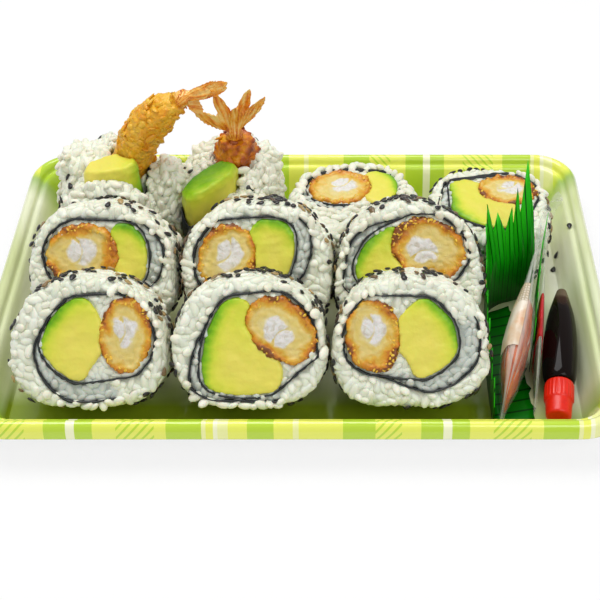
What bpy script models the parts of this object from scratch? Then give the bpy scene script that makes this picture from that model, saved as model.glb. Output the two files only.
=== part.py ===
"""A takeaway tray of uramaki: six slices that lean back in two rows, two slices that lie flat,
two end pieces with the prawn's tail up, a grass divider, two sachets and a soy sauce bottle.

Metres, +Z up. The origin is at the middle of the tray's underside, +X to the tray's right and +Y
to its back. Each slice is modelled in its own frame: x across the cut face, y up the face and z out
of it, with the origin at the middle of the face's lower edge.
"""

import math
import random

import bmesh
import bpy
from mathutils import Matrix, Vector

MM = 0.001
GAP = 0.35 * MM

# Tray: foam sheet with a rolled lip, a lid ledge and sloping walls.
TRAY_WIDTH = 215 * MM
TRAY_DEPTH = 147 * MM
TRAY_HEIGHT = 16.5 * MM
TRAY_SHEET = 1.0 * MM
TRAY_CORNER = 16 * MM
FLOOR_TOP = TRAY_SHEET
WALL_INSET = 12.5 * MM

# Slices of roll.
SLICE_THICKNESS = 25 * MM
LEAN = 34.0
FLAT = 90.0
OUTLINE_POINTS = 36
CUT_EDGE = 1.0 * MM
ROW_PITCH = SLICE_THICKNESS / math.cos(math.radians(LEAN)) + 0.7 * MM
FRONT_ROW_FOOT = -65.0 * MM

# End pieces stand on their cut face.
END_WIDTH = 43 * MM
END_DEPTH = 45 * MM
END_HEIGHT = 39.5 * MM
END_MIDDLE_Y = 38.5 * MM


def collection(name):
    made = bpy.data.collections.new(name)
    bpy.context.scene.collection.children.link(made)
    return made


def clear_scene():
    for old in list(bpy.data.objects):
        bpy.data.objects.remove(old)


def material(name, colour, roughness, metallic=0.0):
    """A Principled surface with one linear colour."""
    made = bpy.data.materials.new(name)
    made.use_nodes = True
    shader = made.node_tree.nodes["Principled BSDF"]
    shader.inputs["Base Color"].default_value = (*colour, 1.0)
    shader.inputs["Roughness"].default_value = roughness
    shader.inputs["Metallic"].default_value = metallic
    return made


def link(name, mesh, look, into):
    """One object for one sub-part, in its collection and with its material."""
    made = bpy.data.objects.new(name, mesh)
    mesh.materials.append(look)
    into.objects.link(made)
    return made


def as_cutter(piece):
    piece.hide_render = True
    piece.display_type = "WIRE"
    return piece


def cut(piece, cutter):
    """Takes the cutter's shape out of the piece."""
    boolean = piece.modifiers.new("cut_by_" + cutter.name, "BOOLEAN")
    boolean.operation = "DIFFERENCE"
    boolean.object = cutter


def join(piece, other):
    """Makes the piece and the other shape one body."""
    boolean = piece.modifiers.new("join_" + other.name, "BOOLEAN")
    boolean.operation = "UNION"
    boolean.object = other


# ---------------------------------------------------------------- outlines and solids


def rounded(corners, rounds=2):
    """A closed outline with its corners cut off twice over, which rounds them."""
    points = [Vector(corner) for corner in corners]
    for _ in range(rounds):
        ahead = points[1:] + points[:1]
        pairs = zip(points, ahead)
        points = [here.lerp(after, share) for here, after in pairs for share in (0.25, 0.75)]
    return points


def grown(outline, by):
    """The outline moved outwards along its normals; it runs anticlockwise."""
    wider = []
    count = len(outline)
    for index, point in enumerate(outline):
        along = outline[(index + 1) % count] - outline[index - 1]
        wider.append(point + Vector((along.y, -along.x)).normalized() * by)
    return wider


def rice_outline(width, height, flare, seed):
    """The pressed outline of a slice: squarer below, rounder above, uneven by half a grain."""
    pick = random.Random(seed)
    phases = [pick.uniform(0, math.tau) for _ in range(3)]
    points = []
    for index in range(OUTLINE_POINTS):
        turn = math.tau * index / OUTLINE_POINTS
        squareness = 2.2 if math.sin(turn) > 0 else 2.7
        x = math.copysign(abs(math.cos(turn)) ** (2 / squareness), math.cos(turn))
        y = math.copysign(abs(math.sin(turn)) ** (2 / squareness), math.sin(turn))
        uneven = 1 + 0.012 * math.sin(3 * turn + phases[0])
        uneven += 0.010 * math.sin(7 * turn + phases[1]) + 0.008 * math.sin(11 * turn + phases[2])
        points.append(Vector((x * uneven * (1 - flare * y), y * uneven)))
    low_x, high_x = min(p.x for p in points), max(p.x for p in points)
    low_y, high_y = min(p.y for p in points), max(p.y for p in points)
    return [
        Vector((
            ((p.x - low_x) / (high_x - low_x) - 0.5) * width,
            (p.y - low_y) / (high_y - low_y) * height,
        ))
        for p in points
    ]


def crumbed_outline(centre, half, turn_degrees, seed, points=24):
    """The section of a battered prawn: an oval with a crumbed, uneven edge."""
    pick = random.Random(seed)
    turned = Matrix.Rotation(math.radians(turn_degrees), 2)
    outline = []
    for index in range(points):
        turn = math.tau * index / points
        rough = 1 + pick.uniform(-0.035, 0.035)
        local = Vector((half[0] * math.cos(turn), half[1] * math.sin(turn))) * rough
        outline.append(Vector(centre) + turned @ local)
    return outline


def prism(outline, back, front):
    """A mesh of the outline, run from z = back to z = front."""
    shape = bmesh.new()
    ring = [shape.verts.new((point.x, point.y, back)) for point in outline]
    face = shape.faces.new(ring)
    run = bmesh.ops.extrude_face_region(shape, geom=[face])
    moved = [part for part in run["geom"] if isinstance(part, bmesh.types.BMVert)]
    bmesh.ops.translate(shape, verts=moved, vec=(0, 0, front - back))
    bmesh.ops.recalc_face_normals(shape, faces=shape.faces)
    mesh = bpy.data.meshes.new("prism")
    shape.to_mesh(mesh)
    shape.free()
    return mesh


def lofted(rings, close_ends=True, triangles=False):
    """A mesh through rings that have the same number of points each."""
    shape = bmesh.new()
    levels = [[shape.verts.new(point) for point in ring] for ring in rings]
    count = len(rings[0])
    for lower, upper in zip(levels, levels[1:]):
        for index in range(count):
            after = (index + 1) % count
            corners = (lower[index], lower[after], upper[after], upper[index])
            if triangles:
                shape.faces.new(corners[:3])
                shape.faces.new((corners[0], corners[2], corners[3]))
            else:
                shape.faces.new(corners)
    if close_ends:
        shape.faces.new(levels[0])
        shape.faces.new(levels[-1])
    bmesh.ops.recalc_face_normals(shape, faces=shape.faces)
    mesh = bpy.data.meshes.new("loft")
    shape.to_mesh(mesh)
    shape.free()
    return mesh


def tube_rings(path, widths, heights, sides=12, roughness=0.0, seed=1):
    """Rings across a path: each has its own half width and half height, and a rough edge."""
    pick = random.Random(seed)
    rings = []
    for index, centre in enumerate(path):
        after = path[min(index + 1, len(path) - 1)]
        before = path[max(index - 1, 0)]
        facing = (after - before).to_track_quat("Z", "Y")
        ring = []
        for side in range(sides):
            turn = math.tau * side / sides
            rough = 1 + pick.uniform(-roughness, roughness)
            local = Vector((widths[index] * math.cos(turn), heights[index] * math.sin(turn), 0))
            ring.append(centre + facing @ (local * rough))
        rings.append(ring)
    return rings


def room_rings(rings, by, past):
    """The rings moved outwards, with one more ring past each end."""
    centres = [sum(ring, Vector()) / len(ring) for ring in rings]
    wider = [
        [point + (point - centre).normalized() * by for point in ring]
        for ring, centre in zip(rings, centres)
    ]
    before = (centres[0] - centres[1]).normalized() * past
    after = (centres[-1] - centres[-2]).normalized() * past
    first = [point + before for point in wider[0]]
    last = [point + after for point in wider[-1]]
    return [first, *wider, last]


# ---------------------------------------------------------------- tray


def rounded_rectangle(width, depth, corner, height, steps=6):
    """Points round a rectangle with round corners, anticlockwise from above."""
    points = []
    for quarter in range(4):
        centre_x = (width / 2 - corner) * (1 if quarter in (0, 3) else -1)
        centre_y = (depth / 2 - corner) * (1 if quarter in (0, 1) else -1)
        for step in range(steps + 1):
            turn = math.pi / 2 * (quarter + step / steps)
            x = centre_x + corner * math.cos(turn)
            y = centre_y + corner * math.sin(turn)
            points.append(Vector((x, y, height)))
    return points


def make_tray(look, into):
    """One vacuum-formed sheet: lip, crest, lid ledge, wall and floor, as stations from outside in."""
    stations = (
        (0.0, 0.70), (0.4, 0.85), (1.6, 0.97), (3.2, 1.0), (4.6, 0.94), (5.4, 0.82),
        (7.4, 0.77), (11.6, 0.12), (WALL_INSET / MM, 0.065),
    )
    rings = []
    for inset, share in stations:
        corner = TRAY_CORNER - inset * MM * 0.8
        width = TRAY_WIDTH - 2 * inset * MM
        depth = TRAY_DEPTH - 2 * inset * MM
        rings.append(rounded_rectangle(width, depth, corner, TRAY_HEIGHT * share))
    floor_inset = WALL_INSET + 1.5 * MM
    rings.append(
        rounded_rectangle(
            TRAY_WIDTH - 2 * floor_inset, TRAY_DEPTH - 2 * floor_inset, 8 * MM, FLOOR_TOP
        )
    )
    mesh = lofted(rings, close_ends=False)
    shape = bmesh.new()
    shape.from_mesh(mesh)
    floor_rim = [edge for edge in shape.edges if edge.is_boundary
                 and all(vert.co.z < 2 * FLOOR_TOP for vert in edge.verts)]
    bmesh.ops.contextual_create(shape, geom=floor_rim)
    bmesh.ops.recalc_face_normals(shape, faces=shape.faces)
    if sum(face.normal.z * face.calc_area() for face in shape.faces) < 0:
        bmesh.ops.reverse_faces(shape, faces=shape.faces)
    shape.to_mesh(mesh)
    shape.free()
    tray = link("tray", mesh, look, into)
    sheet = tray.modifiers.new("sheet", "SOLIDIFY")
    sheet.thickness = TRAY_SHEET
    sheet.offset = -1
    sheet.use_even_offset = False
    return tray


# ---------------------------------------------------------------- slices of roll

# Each slice by hand: where its face stands, its size, and where its fillings lie on the face.
# Corners and centres are millimetres from the middle of the face.
SLICES = {
    "front_left": dict(
        x=-65.6, row=0, width=51.0, flare=0.05, height=43.6,
        avocado=((-15.5, -3), (-11, 8.5), (-1.5, 16.5), (5, 9), (6, -1), (1.5, -7), (-2.5, -14)),
        prawn=((12.6, 2.8), (8.0, 12.0), -4),
    ),
    "front_middle": dict(
        x=-14.3, row=0, width=50.6, flare=0.02, height=43.8,
        avocado=((-13.5, -16), (-15, -7), (-12.5, 6), (-6, 15.5), (2, 13), (0, 3), (9, -4),
                 (11.5, -10), (8, -17)),
        prawn=((10.6, 4.5), (12.4, 9.0), -42),
    ),
    "front_right": dict(
        x=37.6, row=0, width=51.6, flare=0.09, height=44.2,
        avocado=((3, 15.5), (-5, 7), (-7, -1), (-1, -5), (1.5, -13), (14.5, -5), (14, 5), (9, 11)),
        prawn=((-12.3, 2.4), (8.3, 11.6), 4),
    ),
    "middle_left": dict(
        x=-65.6, row=1, width=50.4, flare=0.02, height=48.0,
        avocado=((3, 16.5), (12, 16), (16, 9), (15, -4), (5, -4)),
        prawn=((-5.6, 5.6), (11.8, 10.4), 8),
    ),
    "middle_middle": dict(
        x=-13.4, row=1, width=51.8, flare=0.03, height=48.2,
        avocado=((-3, 17.5), (11, 17.5), (13.5, 8), (9, -5), (-2, -5)),
        prawn=((-9.6, 4.2), (9.4, 11.8), -14),
    ),
    "middle_right": dict(
        x=38.2, row=1, width=51.4, flare=0.04, height=48.4,
        avocado=((-6, 16), (-14, 11), (-19.5, 1), (-14, -7), (3, -5), (2, 5), (-3, 12)),
        prawn=((6.0, 7.6), (12.6, 9.8), -26),
    ),
    "back_middle": dict(
        x=19.2, row=2, width=48.4, flare=0.0, height=48.0, foot_y=5.2,
        avocado=((3, 17), (12, 18), (17.5, 12), (15, 1), (5, -2)),
        prawn=((-4.6, 8.4), (11.4, 9.2), 6),
    ),
    "back_right": dict(
        x=69.6, row=2, width=46.0, flare=0.0, height=46.0, foot_y=5.2,
        avocado=((-14.5, 13), (-13, 3), (-14.5, -6), (0, -15), (12, -13), (12, -3), (1, 5), (-4, 14)),
        prawn=((7.2, 8.0), (10.6, 8.2), -6),
    ),
}


def place_slice(name, piece):
    """Stands or lays a slice's piece where that slice is."""
    facts = SLICES[name]
    if facts["row"] < 2:
        lean = math.radians(LEAN)
        lift = SLICE_THICKNESS * math.sin(lean)
        foot = FRONT_ROW_FOOT + facts["row"] * ROW_PITCH
    else:
        lean = math.radians(FLAT)
        lift = SLICE_THICKNESS
        foot = facts["foot_y"] * MM
    piece.location = (facts["x"] * MM, foot, FLOOR_TOP + GAP + lift)
    piece.rotation_euler = (math.pi / 2 - lean, 0, 0)


def make_slice(name, seed, looks, into, cutters):
    """Rice with the wrapped sheet in it, and the avocado and the battered prawn that run through."""
    facts = SLICES[name]
    height = facts["height"] * MM
    centre = Vector((0, height / 2))
    back = -SLICE_THICKNESS

    prawn_centre, prawn_half, prawn_turn = facts["prawn"]
    prawn_half = [size * MM for size in prawn_half]
    prawn_line = crumbed_outline(
        centre + Vector(prawn_centre) * MM, prawn_half, prawn_turn, seed
    )
    avocado_line = rounded([centre + Vector(corner) * MM for corner in facts["avocado"]])
    if sum(a.x * b.y - b.x * a.y for a, b in zip(avocado_line, avocado_line[1:])) < 0:
        avocado_line.reverse()

    rice_line = rice_outline(facts["width"] * MM, height, facts["flare"], seed)
    rice = link(name + "_rice", prism(rice_line, back, 0), looks["rice"], into)
    avocado = link(name + "_avocado", prism(avocado_line, back, 0), looks["avocado"], into)
    prawn = link(name + "_prawn", prism(prawn_line, back, 0), looks["batter"], into)

    past = 2 * MM
    room_for_prawn = as_cutter(link(
        name + "_prawn_room", prism(grown(prawn_line, GAP), back - past, past), looks["batter"], cutters
    ))
    room_for_avocado = as_cutter(link(
        name + "_avocado_room", prism(grown(avocado_line, GAP), back - past, past),
        looks["avocado"], cutters,
    ))
    edge = rice.modifiers.new("cut_edge", "BEVEL")
    edge.width = CUT_EDGE
    edge.segments = 1
    edge.limit_method = "ANGLE"
    edge.angle_limit = math.radians(60)
    cut(avocado, room_for_prawn)
    cut(rice, room_for_prawn)
    cut(rice, room_for_avocado)
    for piece in (rice, avocado, prawn, room_for_prawn, room_for_avocado):
        place_slice(name, piece)


# ---------------------------------------------------------------- end pieces

# Paths are millimetres in x, y and z, from the tray's origin.
ENDS = {
    "end_left": dict(
        x=-71.4,
        avocado=dict(centre=(-67.6, 26.5), half=(10.8, 5.8), turn=4, top=45.5, slope=0.12),
        prawn_path=((-67.0, 41, 3), (-65.5, 40, 22), (-63.0, 38, 36), (-59.0, 37, 46), (-53.5, 36, 56),
                    (-47.5, 35, 63), (-42.5, 34.5, 66.5)),
        prawn_half=(6.5, 7.2, 8.0, 8.4, 8.2, 6.4, 4.2),
        tail_root=(-41.3, 34.4, 67.1),
        tail_tips=((-23.5, 30.5, 76.5), (-24.0, 33.0, 73.0), (-26.5, 35.5, 71.0), (-29.5, 29.5, 73.5),
                   (-33.5, 33.0, 62.0)),
    ),
    "end_middle": dict(
        x=-26.9,
        avocado=dict(centre=(-32.8, 24.6), half=(12.0, 6.4), turn=42, top=40.5, slope=0.22),
        prawn_path=((-24.0, 40, 3), (-23.8, 40, 20), (-23.6, 39.5, 34), (-23.5, 39, 42), (-23.5, 38.5, 48)),
        prawn_half=(6.0, 6.8, 7.6, 8.4, 6.0),
        tail_root=(-23.5, 38.4, 48.8),
        tail_tips=((-37.0, 35.0, 61.5), (-30.0, 37.5, 68.0), (-22.5, 36.5, 62.5), (-17.0, 38.5, 69.0),
                   (-11.5, 37.0, 66.5)),
    ),
}


def end_rice_mesh(middle_x, seed):
    """A drum of rice that stands on its cut face, with a domed and ragged top."""
    pick = random.Random(seed)
    levels = ((0.0, 0.95), (0.05, 1.0), (0.35, 0.99), (0.62, 0.96), (0.80, 0.88), (0.93, 0.68), (1.0, 0.36))
    sides = 26
    phase = pick.uniform(0, math.tau)
    rings = []
    for height_share, width_share in levels:
        ring = []
        for side in range(sides):
            turn = math.tau * side / sides
            rough = 1 - pick.uniform(0.0, 0.035) if height_share > 0 else 0.985
            wave = 0.985 + 0.015 * math.sin(3 * turn + phase)
            x = END_WIDTH / 2 * width_share * rough * wave * math.cos(turn)
            y = END_DEPTH / 2 * width_share * rough * wave * math.sin(turn)
            ragged = pick.uniform(-1.2, 1.2) * MM if height_share > 0.6 else 0.0
            raised = 2.0 * MM * math.sin(turn) + 2.5 * MM * math.cos(turn) if height_share > 0.6 else 0.0
            z = FLOOR_TOP + GAP + END_HEIGHT * height_share + ragged + raised
            ring.append(Vector((middle_x + x, END_MIDDLE_Y + y, z)))
        rings.append(ring)
    return lofted(rings)


def avocado_chunk_mesh(facts, grow):
    """A wedge of avocado that stands in the rice, with a sloping top."""
    turned = Matrix.Rotation(math.radians(facts["turn"]), 2)
    half_x, half_y = facts["half"]
    corners = ((half_x, -half_y), (half_x * 0.9, half_y), (-half_x * 0.7, half_y), (-half_x, -half_y * 0.4),
               (-half_x * 0.5, -half_y))
    outline = rounded([turned @ Vector(corner) * MM for corner in corners], rounds=1)
    middle = Vector(facts["centre"]) * MM
    outline = grown(outline, grow)
    levels = ((0.0, 1.0), (0.5, 1.0), (0.94, 0.98), (1.0, 0.84))
    rings = []
    for share, width in levels:
        ring = []
        for point in outline:
            top = facts["top"] * MM + facts["slope"] * point.x + grow
            base = FLOOR_TOP + GAP - (2 * MM if grow else 0)
            ring.append(Vector((*(middle + point * width), base + (top - base) * share)))
        rings.append(ring)
    return lofted(rings)


def blade_mesh(root, tip, half_width, half_thickness, across):
    """One flat, pointed blade of a prawn's tail, from its root to its tip."""
    along = tip - root
    side = (across - along * across.dot(along) / along.length_squared).normalized()
    normal = along.cross(side).normalized()
    shares = ((0.0, 0.45), (0.3, 0.9), (0.65, 1.0), (0.9, 0.6), (1.0, 0.18))
    rings = []
    for share, width in shares:
        centre = root + along * share
        ring = []
        for turn in (0, 60, 120, 180, 240, 300):
            angle = math.radians(turn)
            flat = side * (math.cos(angle) * half_width * width)
            ring.append(centre + flat + normal * (math.sin(angle) * half_thickness))
        rings.append(ring)
    return lofted(rings)


def make_end(name, seed, looks, into, cutters):
    facts = ENDS[name]
    rice = link(name + "_rice", end_rice_mesh(facts["x"] * MM, seed), looks["rice"], into)
    avocado = link(name + "_avocado", avocado_chunk_mesh(facts["avocado"], 0), looks["avocado"], into)

    path = [Vector(point) * MM for point in facts["prawn_path"]]
    halves = [half * MM for half in facts["prawn_half"]]
    slimmer = [half * 0.88 for half in halves]
    prawn_rings = tube_rings(path, halves, slimmer, roughness=0.06, seed=seed)
    prawn = link(name + "_prawn", lofted(prawn_rings, triangles=True), looks["batter"], into)
    room = lofted(room_rings(prawn_rings, GAP * 1.5, 3 * MM), triangles=True)
    prawn_room = as_cutter(link(name + "_prawn_room", room, looks["batter"], cutters))
    avocado_room = as_cutter(link(
        name + "_avocado_room", avocado_chunk_mesh(facts["avocado"], GAP), looks["avocado"], cutters
    ))
    cut(rice, prawn_room)
    cut(rice, avocado_room)
    cut(avocado, prawn_room)

    heading = (path[-1] - path[-2]).normalized()
    root = Vector(facts["tail_root"]) * MM
    stem_path = [root, root + heading * 2.5 * MM, root + heading * 5 * MM]
    stem_half = [3.6 * MM, 3.2 * MM, 2.0 * MM]
    stem = tube_rings(stem_path, stem_half, [half * 0.8 for half in stem_half], sides=8)
    tail = link(name + "_tail", lofted(stem), looks["tail"], into)
    for index, tip in enumerate(facts["tail_tips"]):
        start = root + heading * 2.2 * MM
        across = Vector((0.35, 0.2, 1)) if name == "end_left" else Vector((1, 0.2, 0))
        shape = blade_mesh(start, Vector(tip) * MM, 2.9 * MM, 0.6 * MM, across)
        blade = as_cutter(link(f"{name}_blade_{index + 1}", shape, looks["tail"], cutters))
        join(tail, blade)


# ---------------------------------------------------------------- divider, sachets and bottle

# The grass strip, column by column: the foot's x and y, then the top's x, y and z; every other top
# is the tip of a blade. Millimetres.
GRASS_FOOT = 1.5
GRASS_KNEE = 27.2
GRASS = (
    ((65.3, -59.0), (65.0, -59.0, 10)), ((65.2, -54.0), (64.9, -53.5, 19)),
    ((65.1, -49.0), (65.0, -48.5, 12)), ((65.0, -44.0), (64.8, -43.0, 22)),
    ((65.0, -39.0), (64.9, -38.5, 14)), ((65.0, -34.0), (64.7, -32.0, 25)),
    ((65.0, -29.0), (64.9, -28.0, 17)), ((65.0, -24.0), (64.7, -21.5, 28)),
    ((65.1, -19.5), (65.0, -18.0, 21)), ((65.3, -15.0), (64.7, -11.5, 33)),
    ((65.8, -11.0), (65.6, -8.5, 27)), ((66.8, -7.0), (64.8, -1.0, 40)),
    ((68.0, -4.5), (66.0, 3.0, 32)), ((69.5, -2.5), (65.6, 6.0, 43)),
    ((71.0, -1.2), (68.7, 6.0, 31)), ((72.5, -0.2), (70.0, 9.0, 37)),
    ((74.2, 0.6), (73.0, 6.8, 30)), ((76.0, 1.2), (75.0, 10.0, 39)),
    ((77.6, 1.8), (75.6, 7.2, 32)), ((79.2, 2.4), (76.5, 12.0, 46)),
    ((80.8, 3.0), (77.8, 8.2, 36)), ((82.4, 3.6), (79.6, 16.0, 55)),
    ((84.4, 4.4), (82.5, 9.0, 37)),
)

# The pouches, in millimetres.
GINGER_STATIONS = (
    (0.00, 1.6, 5.0, 0.5), (0.08, 1.5, 12, 0.9), (0.22, 1.5, 21, 3.6), (0.40, 1.5, 26, 5.0),
    (0.58, 1.5, 29, 4.4), (0.75, 1.8, 33, 2.4), (0.90, 2.4, 38, 0.9), (1.00, 3.5, 42, 0.5),
)
WASABI_STATIONS = (
    (0.00, 1.6, 4.0, 0.4), (0.15, 1.5, 13, 0.9), (0.40, 1.5, 22, 1.3), (0.70, 1.8, 30, 1.0),
    (0.90, 2.2, 36, 0.5), (1.00, 3.0, 38, 0.4),
)


def make_divider(look, into):
    """A strip of plastic grass on edge, with its top cut into blades that lean back."""
    shape = bmesh.new()
    columns = []
    for (base_x, base_y), (top_x, top_y, top_z) in GRASS:
        knee = min(GRASS_KNEE, 0.62 * top_z)
        share = knee / top_z * 0.25
        knee_x = base_x + (top_x - base_x) * share
        knee_y = base_y + 1.2 * knee / GRASS_KNEE
        points = ((base_x, base_y, GRASS_FOOT), (knee_x, knee_y, knee), (top_x, top_y, top_z))
        columns.append([shape.verts.new(Vector(point) * MM) for point in points])
    for left, right in zip(columns, columns[1:]):
        for low in (0, 1):
            shape.faces.new((left[low], right[low], right[low + 1], left[low + 1]))
    mesh = bpy.data.meshes.new("divider")
    shape.to_mesh(mesh)
    shape.free()
    divider = link("grass_divider", mesh, look, into)
    sheet = divider.modifiers.new("sheet", "SOLIDIFY")
    sheet.thickness = 0.4 * MM
    sheet.offset = 0
    return divider


def pouch_mesh(start, end, stations):
    """A pillow pouch that stands on its long edge, from start to end in plan.

    Each station: how far along, the height of its lower and upper edge, and half its thickness.
    """
    start, end = Vector((*start, 0)), Vector((*end, 0))
    along = end - start
    side = Vector((-along.y, along.x, 0)).normalized()
    rings = []
    for share, low, high, half in stations:
        centre = start + along * share + Vector((0, 0, (low + high) / 2))
        ring = []
        for step in range(12):
            turn = math.tau * step / 12
            across = math.copysign(abs(math.sin(turn)) ** 0.8, math.sin(turn)) * half
            up = (high - low) / 2 * math.cos(turn)
            ring.append((centre + side * across + Vector((0, 0, up))) * MM)
        rings.append(ring)
    return lofted(rings)


def make_sachets(looks, into):
    ginger = pouch_mesh((67.6, -59.5), (83.2, -4.0), GINGER_STATIONS)
    link("ginger_sachet", ginger, looks["film"], into)
    wasabi = pouch_mesh((79.4, -54.0), (85.4, -4.0), WASABI_STATIONS)
    link("wasabi_sachet", wasabi, looks["film"], into)


def turned(name, profile, look, into):
    """A solid of revolution about z: profile is (radius, height) in millimetres, top to bottom."""
    mesh = bpy.data.meshes.new(name)
    points = [(radius * MM, 0.0, height * MM) for radius, height in profile]
    mesh.from_pydata(points, [(index, index + 1) for index in range(len(points) - 1)], [])
    piece = link(name, mesh, look, into)
    screw = piece.modifiers.new("turned", "SCREW")
    screw.steps = screw.render_steps = 20
    screw.use_merge_vertices = True
    screw.merge_threshold = 0.00002
    screw.use_smooth_shade = True
    return piece


def make_bottle(looks, into):
    """A squeezy soy bottle on its side along the tray's right wall, its cap to the front."""
    body = turned("soy_bottle", (
        (0, 56.2), (1.4, 56.0), (2.2, 55.0), (3.0, 51.0), (4.6, 44.0), (5.6, 36.0), (6.0, 29.0),
        (6.0, 23.0), (5.6, 17.5), (4.9, 14.9), (3.4, 14.2), (0, 14.2),
    ), looks["soy"], into)
    cap = turned("bottle_cap", (
        (0, 13.8), (4.2, 13.8), (5.0, 13.5), (5.0, 6.5), (4.55, 6.0), (4.2, 0.7), (3.7, 0), (0, 0),
    ), looks["cap"], into)
    foot = Vector((86.2 * MM, -60.0 * MM, FLOOR_TOP + GAP + 5.0 * MM))
    tip = Vector((93.0 * MM, -9.3 * MM, 11.6 * MM))
    facing = (tip - foot).to_track_quat("Z", "Y")
    for piece in (body, cap):
        piece.rotation_euler = facing.to_euler()
        piece.location = foot


def main():
    clear_scene()
    parts = collection("uramaki_tray")
    cutters = collection("cutters")
    looks = {
        "rice": material("rice", (0.78, 0.78, 0.70), 0.45),
        "avocado": material("avocado", (0.66, 0.70, 0.10), 0.40),
        "batter": material("fried_batter", (0.62, 0.30, 0.05), 0.60),
        "tail": material("prawn_shell", (0.70, 0.25, 0.03), 0.35),
        "tray": material("printed_foam", (0.60, 0.76, 0.20), 0.25),
        "grass": material("grass_film", (0.01, 0.36, 0.04), 0.35),
        "film": material("clear_film", (0.80, 0.82, 0.74), 0.15),
        "soy": material("soy_in_bottle", (0.02, 0.012, 0.012), 0.15),
        "cap": material("red_cap", (0.80, 0.03, 0.02), 0.35),
    }
    make_tray(looks["tray"], parts)
    for seed, name in enumerate(SLICES, start=11):
        make_slice(name, seed, looks, parts, cutters)
    for seed, name in enumerate(ENDS, start=31):
        make_end(name, seed, looks, parts, cutters)
    make_divider(looks["grass"], parts)
    make_sachets(looks, parts)
    make_bottle(looks, parts)


main()
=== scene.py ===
# %% [markdown]
# # A takeaway tray of uramaki
#
# Uramaki is a sushi roll with its rice on the outside. This one holds battered prawn and avocado in
# a sheet of seaweed. The tray holds six slices that lean back in two rows, two that lie flat, and
# the roll's two ends, which stand up with the prawns' tails showing. A strip of plastic grass keeps
# the ginger, the wasabi and the soy sauce apart from the rice.
#
# The CAD model is a fixed frame: it says where each thing is and how big it is. This lesson covers
# each of its solids with the surface that the real food has.

# %% Load the frame
import math
import random

import bmesh
import bpy
import numpy as np
from mathutils import Matrix, Vector, noise


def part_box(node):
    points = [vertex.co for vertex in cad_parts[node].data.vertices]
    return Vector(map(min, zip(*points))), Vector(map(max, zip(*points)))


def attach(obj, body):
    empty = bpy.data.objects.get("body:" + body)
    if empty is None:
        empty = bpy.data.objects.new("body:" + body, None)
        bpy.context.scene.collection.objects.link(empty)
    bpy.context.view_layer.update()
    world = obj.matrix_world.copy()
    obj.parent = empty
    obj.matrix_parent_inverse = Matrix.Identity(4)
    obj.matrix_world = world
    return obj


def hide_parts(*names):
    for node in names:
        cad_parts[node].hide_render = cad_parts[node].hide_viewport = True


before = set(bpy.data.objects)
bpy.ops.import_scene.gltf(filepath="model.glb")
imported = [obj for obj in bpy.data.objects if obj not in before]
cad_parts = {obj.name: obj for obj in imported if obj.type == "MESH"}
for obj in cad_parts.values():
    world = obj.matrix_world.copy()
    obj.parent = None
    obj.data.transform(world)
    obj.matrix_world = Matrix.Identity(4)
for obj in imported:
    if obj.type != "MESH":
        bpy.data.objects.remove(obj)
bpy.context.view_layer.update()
MM = 0.001
WELD = 0.01 * MM  # points nearer than this are one point
print("CAD nodes:", len(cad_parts))

# %% [markdown]
# ## Colours and nodes
#
# A colour picked on a screen is an sRGB value, and Blender's shaders want linear light, so one
# function turns a hex code into the numbers that a socket takes. One more function adds any node,
# sets it and links it, so that a material reads as a list of what it is made of.


# %% Colour and node helpers
def linear(hex_code):
    """An sRGB hex code as the linear colour that a shader takes."""
    channels = [int(hex_code[index : index + 2], 16) / 255 for index in (1, 3, 5)]
    return (*[c / 12.92 if c < 0.04045 else ((c + 0.055) / 1.055) ** 2.4 for c in channels], 1.0)


def add(tree, kind, inputs=None, stops=None, **settings):
    """Adds a node: settings are its properties, inputs are values or sockets to link from."""
    made = tree.nodes.new(kind)
    for name, value in settings.items():
        setattr(made, name, value)
    for key, value in (inputs or {}).items():
        if isinstance(value, bpy.types.NodeSocket):
            tree.links.new(value, made.inputs[key])
        else:
            made.inputs[key].default_value = linear(value) if str(value).startswith("#") else value
    if stops:
        ramp = made.color_ramp
        for place, (position, colour) in enumerate(stops):
            stop = ramp.elements[place] if place < 2 else ramp.elements.new(position)
            stop.position, stop.color = position, linear(colour)
    return made


def new_material(name):
    """A material with an empty tree, ready for its nodes."""
    made = bpy.data.materials.new(name)
    made.use_nodes = True
    made.node_tree.nodes.clear()
    print("material:", name)
    return made, made.node_tree


def close_material(tree, shader):
    """Links a finished shader to the material's output."""
    add(tree, "ShaderNodeOutputMaterial", {"Surface": shader.outputs[0]})


def scale_for(width):
    """The scale of a texture whose lumps are this many millimetres wide."""
    return 1 / (width * MM)


# %% [markdown]
# ## Piece helpers
#
# Every finished piece has its object at the origin, with its place in its mesh, as a CAD node has.
# A piece can start as a list of points and faces, or as a bmesh, which is Blender's editable form
# of a mesh. Most pieces here follow a rule, such as rings round an axis, so a grid of points is
# worked out and one function joins its neighbours into faces.


# %% Making a mesh
def link(piece):
    """Puts an object in the scene."""
    bpy.context.scene.collection.objects.link(piece)
    return piece


def piece_from(shape, name):
    """Turns a bmesh into an object."""
    mesh = bpy.data.meshes.new(name)
    shape.to_mesh(mesh)
    shape.free()
    return bpy.data.objects.new(name, mesh)


def grid_faces(rows, columns, join_rows=False, join_columns=False):
    """Faces of a grid of points listed row by row; a joined grid closes on itself that way."""
    faces = []
    for row in range(rows if join_rows else rows - 1):
        for column in range(columns if join_columns else columns - 1):
            next_row, next_column = (row + 1) % rows, (column + 1) % columns
            faces.append((row * columns + column, row * columns + next_column,
                          next_row * columns + next_column, next_row * columns + column))
    return faces


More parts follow.
